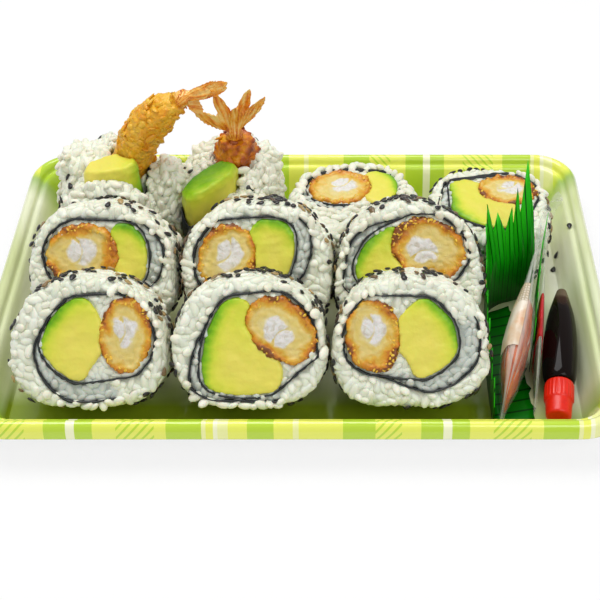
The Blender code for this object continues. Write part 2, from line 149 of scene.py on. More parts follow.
def mesh_piece(name, points, faces, *materials, smooth=True):
    """A mesh object at the origin, in metres."""
    mesh = bpy.data.meshes.new(name)
    mesh.from_pydata([tuple(point) for point in points], [], faces)
    mesh.update()
    for look in materials:
        mesh.materials.append(look)
    mesh.polygons.foreach_set("use_smooth", [smooth] * len(mesh.polygons))
    return link(bpy.data.objects.new(name, mesh))


def outward(piece):
    """Turns all faces of a closed piece outwards."""
    shape = bmesh.new()
    shape.from_mesh(piece.data)
    bmesh.ops.recalc_face_normals(shape, faces=shape.faces)
    shape.to_mesh(piece.data)
    shape.free()
    return piece


def welded_copy(node, name):
    """A CAD node's shape as a new piece, with its loose triangles joined."""
    shape = bmesh.new()
    shape.from_mesh(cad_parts[node].data)
    bmesh.ops.remove_doubles(shape, verts=shape.verts, dist=WELD)
    return link(piece_from(shape, name))


def twin_of(piece, name):
    """A copy of a piece, with a mesh of its own."""
    twin = piece.copy()
    twin.data = piece.data.copy()
    twin.name = name
    return link(twin)


# %% [markdown]
# Some steps are easier as a modifier: Remesh gives an even skin, and Solidify makes a sheet a thin
# solid. The export wants plain mesh, so each modifier is turned into mesh as soon as it is set.


# %% Modifiers as plain mesh
def settle(piece):
    """Turns a piece's modifiers into plain mesh."""
    bpy.context.view_layer.update()
    evaluated = piece.evaluated_get(bpy.context.evaluated_depsgraph_get())
    mesh = bpy.data.meshes.new_from_object(evaluated)
    piece.modifiers.clear()
    piece.data = mesh
    return piece


def voxel_skin(piece, size):
    """Gives a piece an even skin of small faces, which later steps can shape and paint."""
    remesh = piece.modifiers.new("skin", "REMESH")
    remesh.mode = "VOXEL"
    remesh.voxel_size = size
    remesh.use_smooth_shade = True
    return settle(piece)


def thicken(piece, thickness, offset=0, under=0):
    """Gives a sheet a thickness in millimetres; under is how many slots on its other side's look is."""
    sheet = piece.modifiers.new("sheet", "SOLIDIFY")
    sheet.thickness = thickness * MM
    sheet.offset = offset
    sheet.material_offset = sheet.material_offset_rim = under
    return settle(piece)


# %% [markdown]
# NumPy arrays move thousands of points in one step. A number painted on each point, such as how
# green it is, travels with the mesh, and the material reads it by its name.


# %% Points and painted numbers
def points_of(mesh):
    """The mesh's points as an array."""
    flat = np.empty(len(mesh.vertices) * 3)
    mesh.vertices.foreach_get("co", flat)
    return flat.reshape(-1, 3)


def normals_of(mesh):
    """The mesh's vertex normals as an array."""
    flat = np.empty(len(mesh.vertices) * 3)
    mesh.vertices.foreach_get("normal", flat)
    return flat.reshape(-1, 3)


def put_points(mesh, points):
    """Writes changed points back to the mesh."""
    mesh.vertices.foreach_set("co", np.asarray(points, dtype=np.float64).ravel())
    mesh.update()


def paint(mesh, name, values):
    """Stores one number for each point, which a material reads by its name."""
    layer = mesh.attributes.new(name, "FLOAT", "POINT")
    layer.data.foreach_set("value", np.asarray(values, dtype=np.float32))


def mark(mesh, name, flags):
    """Stores a yes or no for each face, which a scatter reads by its name."""
    layer = mesh.attributes.new(name, "BOOLEAN", "FACE")
    layer.data.foreach_set("value", [bool(flag) for flag in flags])


def rough(points, size, seed, octaves=3):
    """Smooth noise from about -1 to 1 at each point; size is the size of its lumps in metres."""
    shift = Vector((seed * 7.31, seed * 3.17, seed * 5.71))
    return np.array([noise.fractal(Vector(p) / size + shift, 0.9, 2.1, octaves) for p in points])


def hand_over(piece, slot, *nodes):
    """Gives a piece to the frame and hides the CAD nodes that it stands for; slot is not used."""
    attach(piece, "root")
    if nodes:
        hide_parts(*nodes)
    print(f"{piece.name}: {len(piece.data.polygons)} faces")


# %% [markdown]
# ## Rice
#
# Sushi rice is short-grain rice, boiled and dressed with vinegar, so each grain is plump, shiny and
# a little see-through. A little subsurface scattering gives that milky glow, and a low roughness
# the wet shine. Inside the roll the rice touches the seaweed, which stains it and shades it: that
# stain and a painted shade make a cool grey-blue, and each grain carries a number named "cool" that
# says how much.

# %% Rice material
def make_rice(name, bright, dull, cold):
    """Cooked rice: each grain has its own tint, and its own share of the cold colour, which is the seaweed's
    stain and painted shade.
    """
    look, tree = new_material(name)
    tint = add(tree, "ShaderNodeAttribute", attribute_name="tint")
    cool = add(tree, "ShaderNodeAttribute", attribute_name="cool")
    place = add(tree, "ShaderNodeTexCoord")
    cloud = add(
        tree, "ShaderNodeTexNoise",
        {"Vector": place.outputs["Object"], "Scale": scale_for(1.11), "Detail": 3.0},
    )
    warm = add(
        tree, "ShaderNodeMix",
        {"Factor": tint.outputs["Fac"], "A": dull, "B": bright},
        data_type="RGBA",
    )
    stained = add(
        tree, "ShaderNodeMix",
        {"Factor": cool.outputs["Fac"], "A": warm.outputs["Result"], "B": cold}, data_type="RGBA",
    )
    shade = add(
        tree, "ShaderNodeMapRange",
        {"Value": cloud.outputs["Fac"], "From Min": 0.35, "From Max": 0.7, "To Min": 0.0, "To Max": 0.3},
    )
    mottled = add(
        tree, "ShaderNodeMix",
        {"Factor": shade.outputs["Result"], "A": stained.outputs["Result"], "B": dull}, data_type="RGBA",
    )
    bump = add(tree, "ShaderNodeBump", {"Height": cloud.outputs["Fac"], "Strength": 0.25, "Distance": 0.0002})
    shader = add(
        tree, "ShaderNodeBsdfPrincipled",
        {
            "Base Color": mottled.outputs["Result"], "Roughness": 0.38, "IOR": 1.4,
            "Subsurface Weight": 0.15, "Subsurface Scale": 0.002, "Normal": bump.outputs["Normal"],
        },
    )
    close_material(tree, shader)
    return look


rice = make_rice("Boiled short-grain rice", "#f4f2e2", "#e3e2cc", "#bfc4bd")
# The rice between the grains is a darker copy of the rice: painted shade in the gaps between them.
rice_bed = make_rice("Rice between the grains", "#eae9d8", "#dad9c2", "#a5aba4")

# %% [markdown]
# ## Seaweed
#
# Nori is a pressed and roasted sheet of seaweed, black-green and slightly glossy where it is damp.
# Fine noise in its colour and its surface stands for the pressed fibres. To the eye it is the darkest
# line on the food.

# %% Seaweed material
nori, tree = new_material("Damp roasted nori")
place = add(tree, "ShaderNodeTexCoord")
fibre = add(
    tree, "ShaderNodeTexNoise",
    {"Vector": place.outputs["Object"], "Scale": scale_for(0.714), "Detail": 4.0},
)
colour = add(
    tree, "ShaderNodeValToRGB", {"Fac": fibre.outputs["Fac"]},
    stops=((0.3, "#0c0f10"), (0.7, "#23292a")),
)
bump = add(tree, "ShaderNodeBump", {"Height": fibre.outputs["Fac"], "Strength": 0.5, "Distance": 0.0003})
shader = add(
    tree, "ShaderNodeBsdfPrincipled",
    {"Base Color": colour.outputs["Color"], "Roughness": 0.42, "Normal": bump.outputs["Normal"]},
)
close_material(tree, shader)

# %% [markdown]
# Sesame seeds are roasted: most are black and some are brown, and their thin oily shell catches the
# light. The scatter gives each seed a number named "tint", and a colour ramp turns it into a shade,
# with few brown ones. A thin coat gives the eye the small bright points.

# %% Sesame material
sesame_shell, tree = new_material("Roasted black sesame")
tint = add(tree, "ShaderNodeAttribute", attribute_name="tint")
colour = add(
    tree, "ShaderNodeValToRGB", {"Fac": tint.outputs["Fac"]},
    stops=((0.0, "#0d0c0d"), (0.74, "#1d1a1a"), (0.84, "#5a4226"), (0.93, "#9c8050"), (1.0, "#b59a66")),
)
shader = add(
    tree, "ShaderNodeBsdfPrincipled",
    {"Base Color": colour.outputs["Color"], "Roughness": 0.33, "Coat Weight": 0.2, "Coat Roughness": 0.25},
)
close_material(tree, shader)

# %% [markdown]
# ## Scattering grains, seeds and crumbs
#
# Rice grains, sesame seeds and batter crumbs are one small shape, repeated over a surface with
# chance turns and sizes. Geometry Nodes are made for that: Poisson-disk points keep neighbours at
# least one spacing apart, so that the grains pack as pressed rice does. The tree below takes the
# surface, the small shape and the sizes as named inputs, and it ends in plain mesh.

# %% Scatter tree
SCATTER_INPUTS = (
    ("Geometry", "NodeSocketGeometry"), ("Shape", "NodeSocketObject"), ("Where", "NodeSocketString"),
    ("Spacing", "NodeSocketFloat"), ("Tilt", "NodeSocketFloat"), ("Sink", "NodeSocketFloat"),
    ("Smallest", "NodeSocketFloat"), ("Largest", "NodeSocketFloat"), ("Patchiness", "NodeSocketFloat"),
    ("Share", "NodeSocketFloat"), ("Seed", "NodeSocketInt"), ("Material", "NodeSocketMaterial"),
    ("Keep surface", "NodeSocketBool"),
)
MOST_POINTS = 900000.0  # tries for each square metre, before the spacing thins them


def make_scatter_tree():
    """Puts turned and scaled copies of a small shape on the marked faces of a surface."""
    tree = bpy.data.node_groups.new("Scatter small shapes", "GeometryNodeTree")
    tree.is_modifier = True
    for name, kind in SCATTER_INPUTS:
        tree.interface.new_socket(name=name, in_out="INPUT", socket_type=kind)
    tree.interface.new_socket(name="Geometry", in_out="OUTPUT", socket_type="NodeSocketGeometry")
    given = add(tree, "NodeGroupInput").outputs

    where = add(tree, "GeometryNodeInputNamedAttribute", {"Name": given["Where"]}, data_type="BOOLEAN")
    # Patches about 9 mm wide, where seeds or flakes are dense or rare.
    patches = add(tree, "ShaderNodeTexNoise", {"Scale": 110.0, "Detail": 1.0})
    contrast = add(tree, "ShaderNodeMath", {0: patches.outputs["Fac"], 1: 0.5}, operation="SUBTRACT")
    patchy = add(
        tree, "ShaderNodeMath", {0: contrast.outputs[0], 1: given["Patchiness"], 2: given["Share"]},
        operation="MULTIPLY_ADD", use_clamp=True,
    )
    points = add(
        tree, "GeometryNodeDistributePointsOnFaces",
        {
            "Mesh": given["Geometry"], "Selection": where.outputs["Attribute"],
            "Distance Min": given["Spacing"], "Density Max": MOST_POINTS,
            "Density Factor": patchy.outputs[0], "Seed": given["Seed"],
        },
        distribute_method="POISSON",
    )
    less = add(tree, "ShaderNodeMath", {0: given["Tilt"], 1: -1.0}, operation="MULTIPLY")
    low = add(tree, "ShaderNodeCombineXYZ", {"X": less.outputs[0], "Y": less.outputs[0], "Z": 0.0})
    high = add(tree, "ShaderNodeCombineXYZ", {"X": given["Tilt"], "Y": given["Tilt"], "Z": math.tau})
    turn = add(
        tree, "FunctionNodeRandomValue",
        {"Min": low.outputs[0], "Max": high.outputs[0], "Seed": given["Seed"]}, data_type="FLOAT_VECTOR",
    )
    turned = add(tree, "FunctionNodeEulerToRotation", {0: turn.outputs["Value"]})
    facing = add(
        tree, "FunctionNodeRotateRotation",
        {"Rotation": points.outputs["Rotation"], "Rotate By": turned.outputs[0]}, rotation_space="LOCAL",
    )
    size = add(tree, "FunctionNodeRandomValue", data_type="FLOAT")
    tree.links.new(given["Smallest"], size.inputs[2])
    tree.links.new(given["Largest"], size.inputs[3])
    tree.links.new(given["Seed"], size.inputs["Seed"])
    shape = add(tree, "GeometryNodeObjectInfo", {"Object": given["Shape"]})
    copies = add(
        tree, "GeometryNodeInstanceOnPoints",
        {
            "Points": points.outputs["Points"], "Instance": shape.outputs["Geometry"],
            "Rotation": facing.outputs[0], "Scale": size.outputs[1],
        },
    )
    down = add(tree, "ShaderNodeMath", {0: given["Sink"], 1: -1.0}, operation="MULTIPLY")
    below = add(tree, "ShaderNodeCombineXYZ", {"X": 0.0, "Y": 0.0, "Z": down.outputs[0]})
    sunk = add(
        tree, "GeometryNodeTranslateInstances",
        {"Instances": copies.outputs["Instances"], "Translation": below.outputs[0]},
    )
    chance = add(tree, "FunctionNodeRandomValue", data_type="FLOAT")
    tinted = add(
        tree, "GeometryNodeStoreNamedAttribute",
        {"Geometry": sunk.outputs[0], "Name": "tint", "Value": chance.outputs[1]},
        data_type="FLOAT", domain="INSTANCE",
    )
    real = add(tree, "GeometryNodeRealizeInstances", {"Geometry": tinted.outputs[0]})
    coated = add(
        tree, "GeometryNodeSetMaterial", {"Geometry": real.outputs[0], "Material": given["Material"]}
    )
    smooth = add(tree, "GeometryNodeSetShadeSmooth", {"Geometry": coated.outputs[0]})
    kept = add(
        tree, "GeometryNodeSwitch", {"Switch": given["Keep surface"], "True": given["Geometry"]},
        input_type="GEOMETRY",
    )
    whole = add(tree, "GeometryNodeJoinGeometry")
    tree.links.new(kept.outputs[0], whole.inputs[0])
    tree.links.new(smooth.outputs[0], whole.inputs[0])
    add(tree, "NodeGroupOutput", {"Geometry": whole.outputs[0]})
    return tree


scatter_tree = make_scatter_tree()
print("scatter tree:", len(scatter_tree.nodes), "nodes")

# %% [markdown]
# A modifier's inputs go by identifiers such as Socket_3, so one function finds them by name. It sets
# them before the modifier is evaluated, and leaves plain mesh.


# %% Scattering on a piece
def scattered(surface, **values):
    """Runs the scatter tree over a piece with the given inputs, and leaves plain mesh."""
    modifier = surface.modifiers.new("scatter", "NODES")
    modifier.node_group = scatter_tree
    names = {item.name: item.identifier for item in scatter_tree.interface.items_tree
             if item.in_out == "INPUT"}
    chosen = {"Where": "outside", "Tilt": 0.3, "Sink": 0.0, "Smallest": 0.9, "Largest": 1.1,
              "Patchiness": 0.0, "Share": 1.0, "Seed": 1, "Keep_surface": True, **values}
    for name, value in chosen.items():
        modifier[names[name.replace("_", " ")]] = value
    return settle(surface)


# %% [markdown]
# A grain of rice is an uneven ellipsoid about 5 mm long and 3 mm wide, slightly bent, and a sesame
# seed is a flat teardrop 3 mm long. Both could be sculpted, but thousands of them are on the tray. So
# each is a sphere of a few dozen faces that is stretched, bent and tapered, and smooth shading does
# the rest.


# %% Small shapes
def small_shape(name, length, width, height, around=8, along=6, bend=0.0, taper=0.0):
    """A low-count ellipsoid that can bend and taper, kept out of sight as a pattern to copy."""
    shape = bmesh.new()
    bmesh.ops.create_uvsphere(shape, u_segments=around, v_segments=along, radius=0.5)
    for vertex in shape.verts:
        x, y, z = vertex.co
        narrow = 1 - taper * z * 2
        arch = bend * (z * z * 4 - 0.5) * height
        vertex.co = (z * length, x * width * narrow, y * height * narrow + arch)
    bmesh.ops.recalc_face_normals(shape, faces=shape.faces)
    made = piece_from(shape, name)
    made.data.polygons.foreach_set("use_smooth", [True] * len(made.data.polygons))
    return made


grain = small_shape("grain_pattern", 5.0 * MM, 3.0 * MM, 2.3 * MM, bend=0.12)
seed_shape = small_shape("seed_pattern", 3.1 * MM, 1.9 * MM, 0.9 * MM, taper=0.45)
print("faces of a grain and a seed:", len(grain.data.polygons), len(seed_shape.data.polygons))

# %% [markdown]
# ## The cut face of a slice
#
# A slice is the same from its front face to its back face, as a stick of rock is. So each slice is
# described once, on its face, and everything runs back from there. The skin, the fillings and the
# place of the face are read from the CAD solids. The seaweed lies just outside the fillings, and
# its loose end leaves that loop and goes out into the rice, with cool rice between.


# %% Slice frames
LEAN = math.radians(34)
THICK = 25.0  # a slice from its front face to its back face, in millimetres
TURNS = 120  # fixed directions round a face, in which outlines are measured
ANGLES = np.arange(TURNS) * math.tau / TURNS
COSINES, SINES = np.cos(ANGLES), np.sin(ANGLES)


class Face:
    """A slice's face: a point on it is x across and y up in millimetres, and z out of it."""

    def __init__(self, name, flat):
        self.up = Vector((0, 1, 0)) if flat else Vector((0, math.sin(LEAN), math.cos(LEAN)))
        self.out = Vector((0, 0, 1)) if flat else Vector((0, -math.cos(LEAN), math.sin(LEAN)))
        points = points_of(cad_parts[name + "_rice"].data)
        across, high, depth = points[:, 0], points @ np.array(self.up), points @ np.array(self.out)
        self.middle = (across.min() + across.max()) / 2, (high.min() + high.max()) / 2, depth.max()

    def local(self, points):
        """World points, in metres, as x, y and z on this face, in millimetres."""
        points = np.asarray(points)
        made = np.stack([points[:, 0], points @ np.array(self.up), points @ np.array(self.out)], axis=1)
        return (made - np.array(self.middle)) / MM

    def world(self, points):
        """Points on this face, in millimetres, as world points in metres."""
        points = np.asarray(points) * MM + np.array(self.middle)
        across = points[:, :1] * np.array((1.0, 0.0, 0.0))
        return across + points[:, 1:2] * np.array(self.up) + points[:, 2:3] * np.array(self.out)


# %% [markdown]
# An outline is read from the CAD solid: the edges round its faces that lie on the cut, walked one
# after another. For most steps it is enough to know how far it reaches in each of 120 directions,
# because such reaches can be added, blended and smoothed like any other numbers.

# %% Outlines on a face
ON_FACE = 0.03  # a point this near the face, in millimetres, lies on it


def outline_on(face, node):
    """The outline of a CAD solid on the face, as ordered x, y points."""
    shape = bmesh.new()
    shape.from_mesh(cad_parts[node].data)
    bmesh.ops.remove_doubles(shape, verts=shape.verts, dist=WELD)
    shape.verts.ensure_lookup_table()
    place = face.local([vertex.co for vertex in shape.verts])
    level = {vertex for vertex in shape.verts if abs(place[vertex.index][2]) < ON_FACE}
    cap = [part for part in shape.faces if all(vertex in level for vertex in part.verts)]
    rim = {edge for part in cap for edge in part.edges
           if sum(other in cap for other in edge.link_faces) == 1}
    loops = []
    while rim:
        edge = min(rim, key=lambda one: one.index)
        vertex, loop = edge.verts[0], []
        while edge is not None:
            rim.discard(edge)
            loop.append(place[vertex.index][:2])
            vertex = edge.other_vert(vertex)
            edge = next((other for other in vertex.link_edges if other in rim), None)
        loops.append(np.array(loop))
    shape.free()
    return max(loops, key=lambda one: np.ptp(one[:, 0]) * np.ptp(one[:, 1]))


def reach(points, centre=(0.0, 0.0), blur=2):
    """How far an outline reaches from a centre, in each of the fixed directions."""
    offsets = np.asarray(points) - np.asarray(centre)
    ahead = np.roll(offsets, -1, axis=0)
    fine = np.concatenate([offsets * (1 - t) + ahead * t for t in np.linspace(0, 1, 12, endpoint=False)])
    turn = np.mod(np.arctan2(fine[:, 1], fine[:, 0]), math.tau)
    far = np.hypot(fine[:, 0], fine[:, 1])
    slot = np.round(turn / math.tau * TURNS).astype(int) % TURNS
    found = np.full(TURNS, np.nan)
    for index in range(TURNS):
        here = far[slot == index]
        if len(here):
            found[index] = here.max()
    known = np.flatnonzero(~np.isnan(found))
    found = np.interp(np.arange(TURNS), known, found[known], period=TURNS)
    return softened(found, blur)


def softened(values, blur):
    """Evens out a closed run of values."""
    for _ in range(blur):
        values = (np.roll(values, 1) + values * 2 + np.roll(values, -1)) / 4
    return values


def inside(outline, points):
    """Which of the points lie inside a closed outline."""
    x, y = points[:, 0], points[:, 1]
    found = np.zeros(len(points), bool)
    for (x1, y1), (x2, y2) in zip(outline, np.roll(outline, -1, axis=0)):
        crosses = (y1 > y) != (y2 > y)
        with np.errstate(divide="ignore", invalid="ignore"):
            found ^= crosses & (x < (x2 - x1) * (y - y1) / (y2 - y1) + x1)
    return found


# %% [markdown]
# A wall of seaweed, a ring of rice and a core of rice are all one kind of shape. Each could be cut
# out of a block with booleans, which are slow and leave uneven faces. Rings of points at given
# reaches and depths, joined into a closed skin, give even faces that grains can be scattered on.


# %% Ring solids
def ring_solid(name, face, rings, *materials, closed=True):
    """A skin through rings, each a (reach in each direction, depth) pair; closed joins last to first."""
    points = []
    for far, depth in rings:
        points.append(np.stack([COSINES * far, SINES * far, np.full(TURNS, float(depth))], axis=1))
    faces = grid_faces(len(rings), TURNS, join_rows=closed, join_columns=True)
    if not closed:
        faces.append(tuple(range(TURNS))[::-1])
        faces.append(tuple(range((len(rings) - 1) * TURNS, len(rings) * TURNS)))
    return outward(mesh_piece(name, face.world(np.concatenate(points)), faces, *materials))


# %% [markdown]
# ## Avocado
#
# Ripe avocado is cut with the roll. Its flesh is bright green just under the peel and pale yellow by
# the stone, and the knife leaves it smooth and moist. Each chunk is the CAD solid with an even skin
# of faces, so a number named "green" can be painted on from the side where the peel was.

# %% Avocado material
avocado, tree = new_material("Ripe avocado flesh")
green = add(tree, "ShaderNodeAttribute", attribute_name="green")
place = add(tree, "ShaderNodeTexCoord")
streaks = add(
    tree, "ShaderNodeTexNoise",
    {"Vector": place.outputs["Object"], "Scale": scale_for(3.85), "Detail": 5.0, "Roughness": 0.6},
)
shift = add(tree, "ShaderNodeMath", {0: streaks.outputs["Fac"], 1: 0.5}, operation="SUBTRACT")
mixed = add(
    tree, "ShaderNodeMath", {0: shift.outputs[0], 1: 0.35, 2: green.outputs["Fac"]},
    operation="MULTIPLY_ADD", use_clamp=True,
)
colour = add(
    tree, "ShaderNodeValToRGB", {"Fac": mixed.outputs[0]},
    stops=((0.0, "#e6da5e"), (0.55, "#cfd83c"), (0.35, "#dedb4e"), (0.78, "#8fc012"), (1.0, "#4f9400")),
)
fine = add(
    tree, "ShaderNodeTexNoise",
    {"Vector": place.outputs["Object"], "Scale": scale_for(0.909), "Detail": 3.0},
)
bump = add(tree, "ShaderNodeBump", {"Height": fine.outputs["Fac"], "Strength": 0.3, "Distance": 0.0003})
shader = add(
    tree, "ShaderNodeBsdfPrincipled",
    {
        "Base Color": colour.outputs["Color"], "Roughness": 0.4, "IOR": 1.42,
        "Subsurface Weight": 0.1, "Subsurface Scale": 0.002, "Normal": bump.outputs["Normal"],
    },
)
close_material(tree, shader)

# %% [markdown]
# ## Battered prawn
#
# The prawn is deep fried in batter before it is rolled. Cut across, it has a white curled middle, a
# soft yellow layer that soaked up oil, and a thin brown crust. The number "ring" goes from 0 inside
# to 1 at the crust, and "flesh" is 1 on the prawn's meat. Noise bends both borders, so that they
# look cooked, not drawn.

# %% Battered prawn material
battered, tree = new_material("Fried batter round a prawn")
ring = add(tree, "ShaderNodeAttribute", attribute_name="ring")
flesh = add(tree, "ShaderNodeAttribute", attribute_name="flesh")
place = add(tree, "ShaderNodeTexCoord")
lumps = add(
    tree, "ShaderNodeTexNoise",
    {
        "Vector": place.outputs["Object"], "Scale": scale_for(3.33), "Detail": 5.0, "Roughness": 0.65,
        "Distortion": 0.8,
    },
)
shift = add(tree, "ShaderNodeMath", {0: lumps.outputs["Fac"], 1: 0.5}, operation="SUBTRACT")
# A second, wider noise makes the crust thick on one side and thin on another.
wide = add(
    tree, "ShaderNodeTexNoise",
    {"Vector": place.outputs["Object"], "Scale": scale_for(9.09), "Detail": 1.0},
)
side = add(tree, "ShaderNodeMath", {0: wide.outputs["Fac"], 1: 0.52}, operation="SUBTRACT")
tipped = add(
    tree, "ShaderNodeMath", {0: side.outputs[0], 1: 0.9, 2: ring.outputs["Fac"]}, operation="MULTIPLY_ADD"
)
bent = add(
    tree, "ShaderNodeMath", {0: shift.outputs[0], 1: 0.5, 2: tipped.outputs[0]},
    operation="MULTIPLY_ADD", use_clamp=True,
)
batter_colour = add(
    tree, "ShaderNodeValToRGB", {"Fac": bent.outputs[0]},
    stops=(
        (0.2, "#dfd092"), (0.45, "#dcc46a"), (0.6, "#e2cb7c"), (0.74, "#dbb03c"), (0.84, "#d8951c"),
        (0.93, "#c4730f"), (1.0, "#7d4208"),
    ),
)
meat_noise = add(
    tree, "ShaderNodeTexNoise",
    {"Vector": place.outputs["Object"], "Scale": scale_for(2.38), "Detail": 3.0, "Distortion": 1.5},
)
meat_colour = add(
    tree, "ShaderNodeValToRGB", {"Fac": meat_noise.outputs["Fac"]},
    stops=((0.3, "#cbc2b2"), (0.45, "#dcd8d0"), (0.6, "#e4e2e0"), (0.75, "#e2d0c2")),
)
border = add(
    tree, "ShaderNodeMath", {0: shift.outputs[0], 1: 0.45, 2: flesh.outputs["Fac"]}, operation="MULTIPLY_ADD"
)
meat = add(tree, "ShaderNodeMapRange", {"Value": border.outputs[0], "From Min": 0.42, "From Max": 0.62})
filled = add(
    tree, "ShaderNodeMix",
    {
        "Factor": meat.outputs["Result"],
        "A": batter_colour.outputs["Color"], "B": meat_colour.outputs["Color"],
    },
    data_type="RGBA",
)
bump = add(tree, "ShaderNodeBump", {"Height": lumps.outputs["Fac"], "Strength": 0.6, "Distance": 0.0006})
shader = add(
    tree, "ShaderNodeBsdfPrincipled",
    {
        "Base Color": filled.outputs["Result"], "Roughness": 0.36, "Subsurface Weight": 0.1,
        "Subsurface Scale": 0.0015, "Normal": bump.outputs["Normal"],
    },
)
close_material(tree, shader)

# %% [markdown]
# Dropped into hot oil, batter sets in crags and thin flakes, golden where it is thick and brown on
# the points. The number "peak" says how high a point stands out of the crust, and peaks are darker
# because they fried more. Small flat flakes of the same crust are scattered on it.

# %% Fried crust material
crust, tree = new_material("Crisp fried batter")
height = add(tree, "ShaderNodeAttribute", attribute_name="peak")
place = add(tree, "ShaderNodeTexCoord")
patch = add(
    tree, "ShaderNodeTexNoise",
    {"Vector": place.outputs["Object"], "Scale": scale_for(5.88), "Detail": 5.0, "Roughness": 0.6},
)
mixed = add(tree, "ShaderNodeMath", {0: patch.outputs["Fac"], 1: height.outputs["Fac"]}, operation="ADD")
halved = add(tree, "ShaderNodeMath", {0: mixed.outputs[0], 1: 0.5}, operation="MULTIPLY")
colour = add(
    tree, "ShaderNodeValToRGB", {"Fac": halved.outputs[0]},
    stops=((0.2, "#f2c440"), (0.44, "#e8a61c"), (0.56, "#dc860e"), (0.68, "#b2560a"), (0.85, "#6a2a06")),
)
grit = add(
    tree, "ShaderNodeTexNoise",
    {"Vector": place.outputs["Object"], "Scale": scale_for(0.833), "Detail": 4.0},
)
bump = add(tree, "ShaderNodeBump", {"Height": grit.outputs["Fac"], "Strength": 0.6, "Distance": 0.0005})
shader = add(
    tree, "ShaderNodeBsdfPrincipled",
    {
        "Base Color": colour.outputs["Color"], "Roughness": 0.34, "Subsurface Weight": 0.1,
        "Subsurface Scale": 0.0015, "Normal": bump.outputs["Normal"],
    },
)
close_material(tree, shader)

flake = small_shape("flake_pattern", 3.0 * MM, 2.0 * MM, 0.7 * MM, around=6, along=4, taper=0.2)

# %% [markdown]
# ## The eight slices
#
# For each slice the table gives where the seaweed's loose end runs (a start and an end, in degrees
# round the face), how wide the cool rice between is, and the side of the avocado that had the peel.

# %% Slice table
SLICES = {
    "front_left": dict(tail=(160, 300), band=6.5, peel=(-0.75, 0.66), seed=3),
    "front_middle": dict(tail=(150, 300), band=5.5, peel=(-0.95, 0.3), seed=5),
    "front_right": dict(tail=(225, 385), band=6.5, peel=(0.8, 0.6), seed=8),
    "middle_left": dict(tail=(-60, 50), band=5.0, peel=(0.4, 0.9), seed=13),
    "middle_middle": dict(tail=(-60, 50), band=5.5, peel=(0.25, 0.95), seed=21),
    "middle_right": dict(tail=(95, 215), band=5.0, peel=(-0.8, 0.6), seed=34),
    "back_middle": dict(tail=(140, 250), band=5.5, peel=(0.9, 0.4), seed=55, flat=True),
    "back_right": dict(tail=(120, 240), band=5.0, peel=(-0.8, -0.3), seed=89, flat=True),
}
print("slices:", ", ".join(SLICES))


# %% [markdown]
# The seaweed was pulled taut round the fillings, so it doesn't dip into the gaps between them. A
# convex outline, the shape a rubber band would take, is that path, and closed noise makes it live.


# %% Taut outline
def turn_of(points):
    """The number of the fixed direction in which each x, y point lies."""
    angle = np.mod(np.arctan2(points[:, 1], points[:, 0]), math.tau)
    return np.round(angle / math.tau * TURNS).astype(int) % TURNS


def hull(points):
    """The corners of the tightest convex outline round x, y points."""
    ordered = sorted({(round(x, 2), round(y, 2)) for x, y in points})
    halves = []
    for run in (ordered, ordered[::-1]):
        half = []
        for x, y in run:
            while len(half) > 1:
                (ax, ay), (bx, by) = half[-2], half[-1]
                if (bx - ax) * (y - ay) - (by - ay) * (x - ax) > 0:
                    break
                half.pop()
            half.append((x, y))
        halves += half[:-1]
    return np.array(halves)


def wavy(seed, pace):
    """Closed noise round the fixed directions; pace is how many lumps it has in a turn."""
    return np.array([noise.noise(Vector((x * pace, y * pace, seed))) for x, y in zip(COSINES, SINES)])


# %% [markdown]
# A sheet of seaweed is 0.2 mm thick when dry and swells in damp rice, so on a cut face it is a black
# line about half a millimetre wide. It is a wall that runs from the front face to the back.


# %% Seaweed walls
WALL = ((0, 0.1), (1, 0.1), (1, -THICK), (0, -THICK))  # inner or outer side, and depth


def seaweed_wall(name, face, far, thickness, first=None, last=None):
    """A wall of seaweed all round; first and last cut it to a part turn."""
    if first is None:
        return ring_solid(name, face, [(far + thickness * side, depth) for side, depth in WALL], nori)
    turn = np.arange(first, last + 1) % TURNS
    points = []
    for side, depth in WALL:
        radius = far[turn] + thickness[turn] * side
        points.append(np.stack([COSINES[turn] * radius, SINES[turn] * radius,
                                np.full(len(turn), depth)], axis=1))
    faces = grid_faces(len(WALL), len(turn), join_rows=True)
    starts = [row * len(turn) for row in range(len(WALL))]
    faces += [tuple(starts[::-1]), tuple(start + len(turn) - 1 for start in starts)]
    return outward(mesh_piece(name, face.world(np.concatenate(points)), faces, nori))


# %% [markdown]
# The avocado in a slice is one chunk. The CAD solid has its outline, and an even skin on it gives
# enough points for the soft dents and for the green that fades in from the peel side.


# %% Avocado of a slice
LOWEST_FOOD = 1.05 * MM  # just over the tray's floor


def slice_avocado(name, face, facts):
    """The avocado of a slice, greener towards the side that had the peel."""
    outline = outline_on(face, name + "_avocado")
    chunk = voxel_skin(welded_copy(name + "_avocado", name + "_avocado_flesh"), 0.65 * MM)
    chunk.data.materials.append(avocado)
    points, normals = points_of(chunk.data), normals_of(chunk.data)
    points += normals * (0.3 * MM + 0.3 * MM * rough(points, 4 * MM, facts["seed"])[:, None])
    points[:, 2] = np.maximum(points[:, 2], LOWEST_FOOD)
    put_points(chunk.data, points)
    place = face.local(points)
    along = place[:, :2] @ np.array(facts["peel"])
    facing = (along - along.min()) / np.ptp(along)
    # The peel side curves with the chunk, so distance to the outline counts as well as direction.
    edge = np.array([np.min(np.hypot(*(outline - point).T)) for point in place[:, :2]])
    green = 1.15 * facing ** 1.6 - 0.10 * edge * facing
    paint(chunk.data, "green", np.clip(green, 0, 1) * 0.95)
    return chunk, place


# %% [markdown]
# The prawn is cut across, so its face shows rings: crust, soft batter and meat. How far a point is
# from the middle, as a share of the way to the outline, says which ring it is in. The meat is a bent
# oval off the middle, with a groove where the prawn curls on itself.


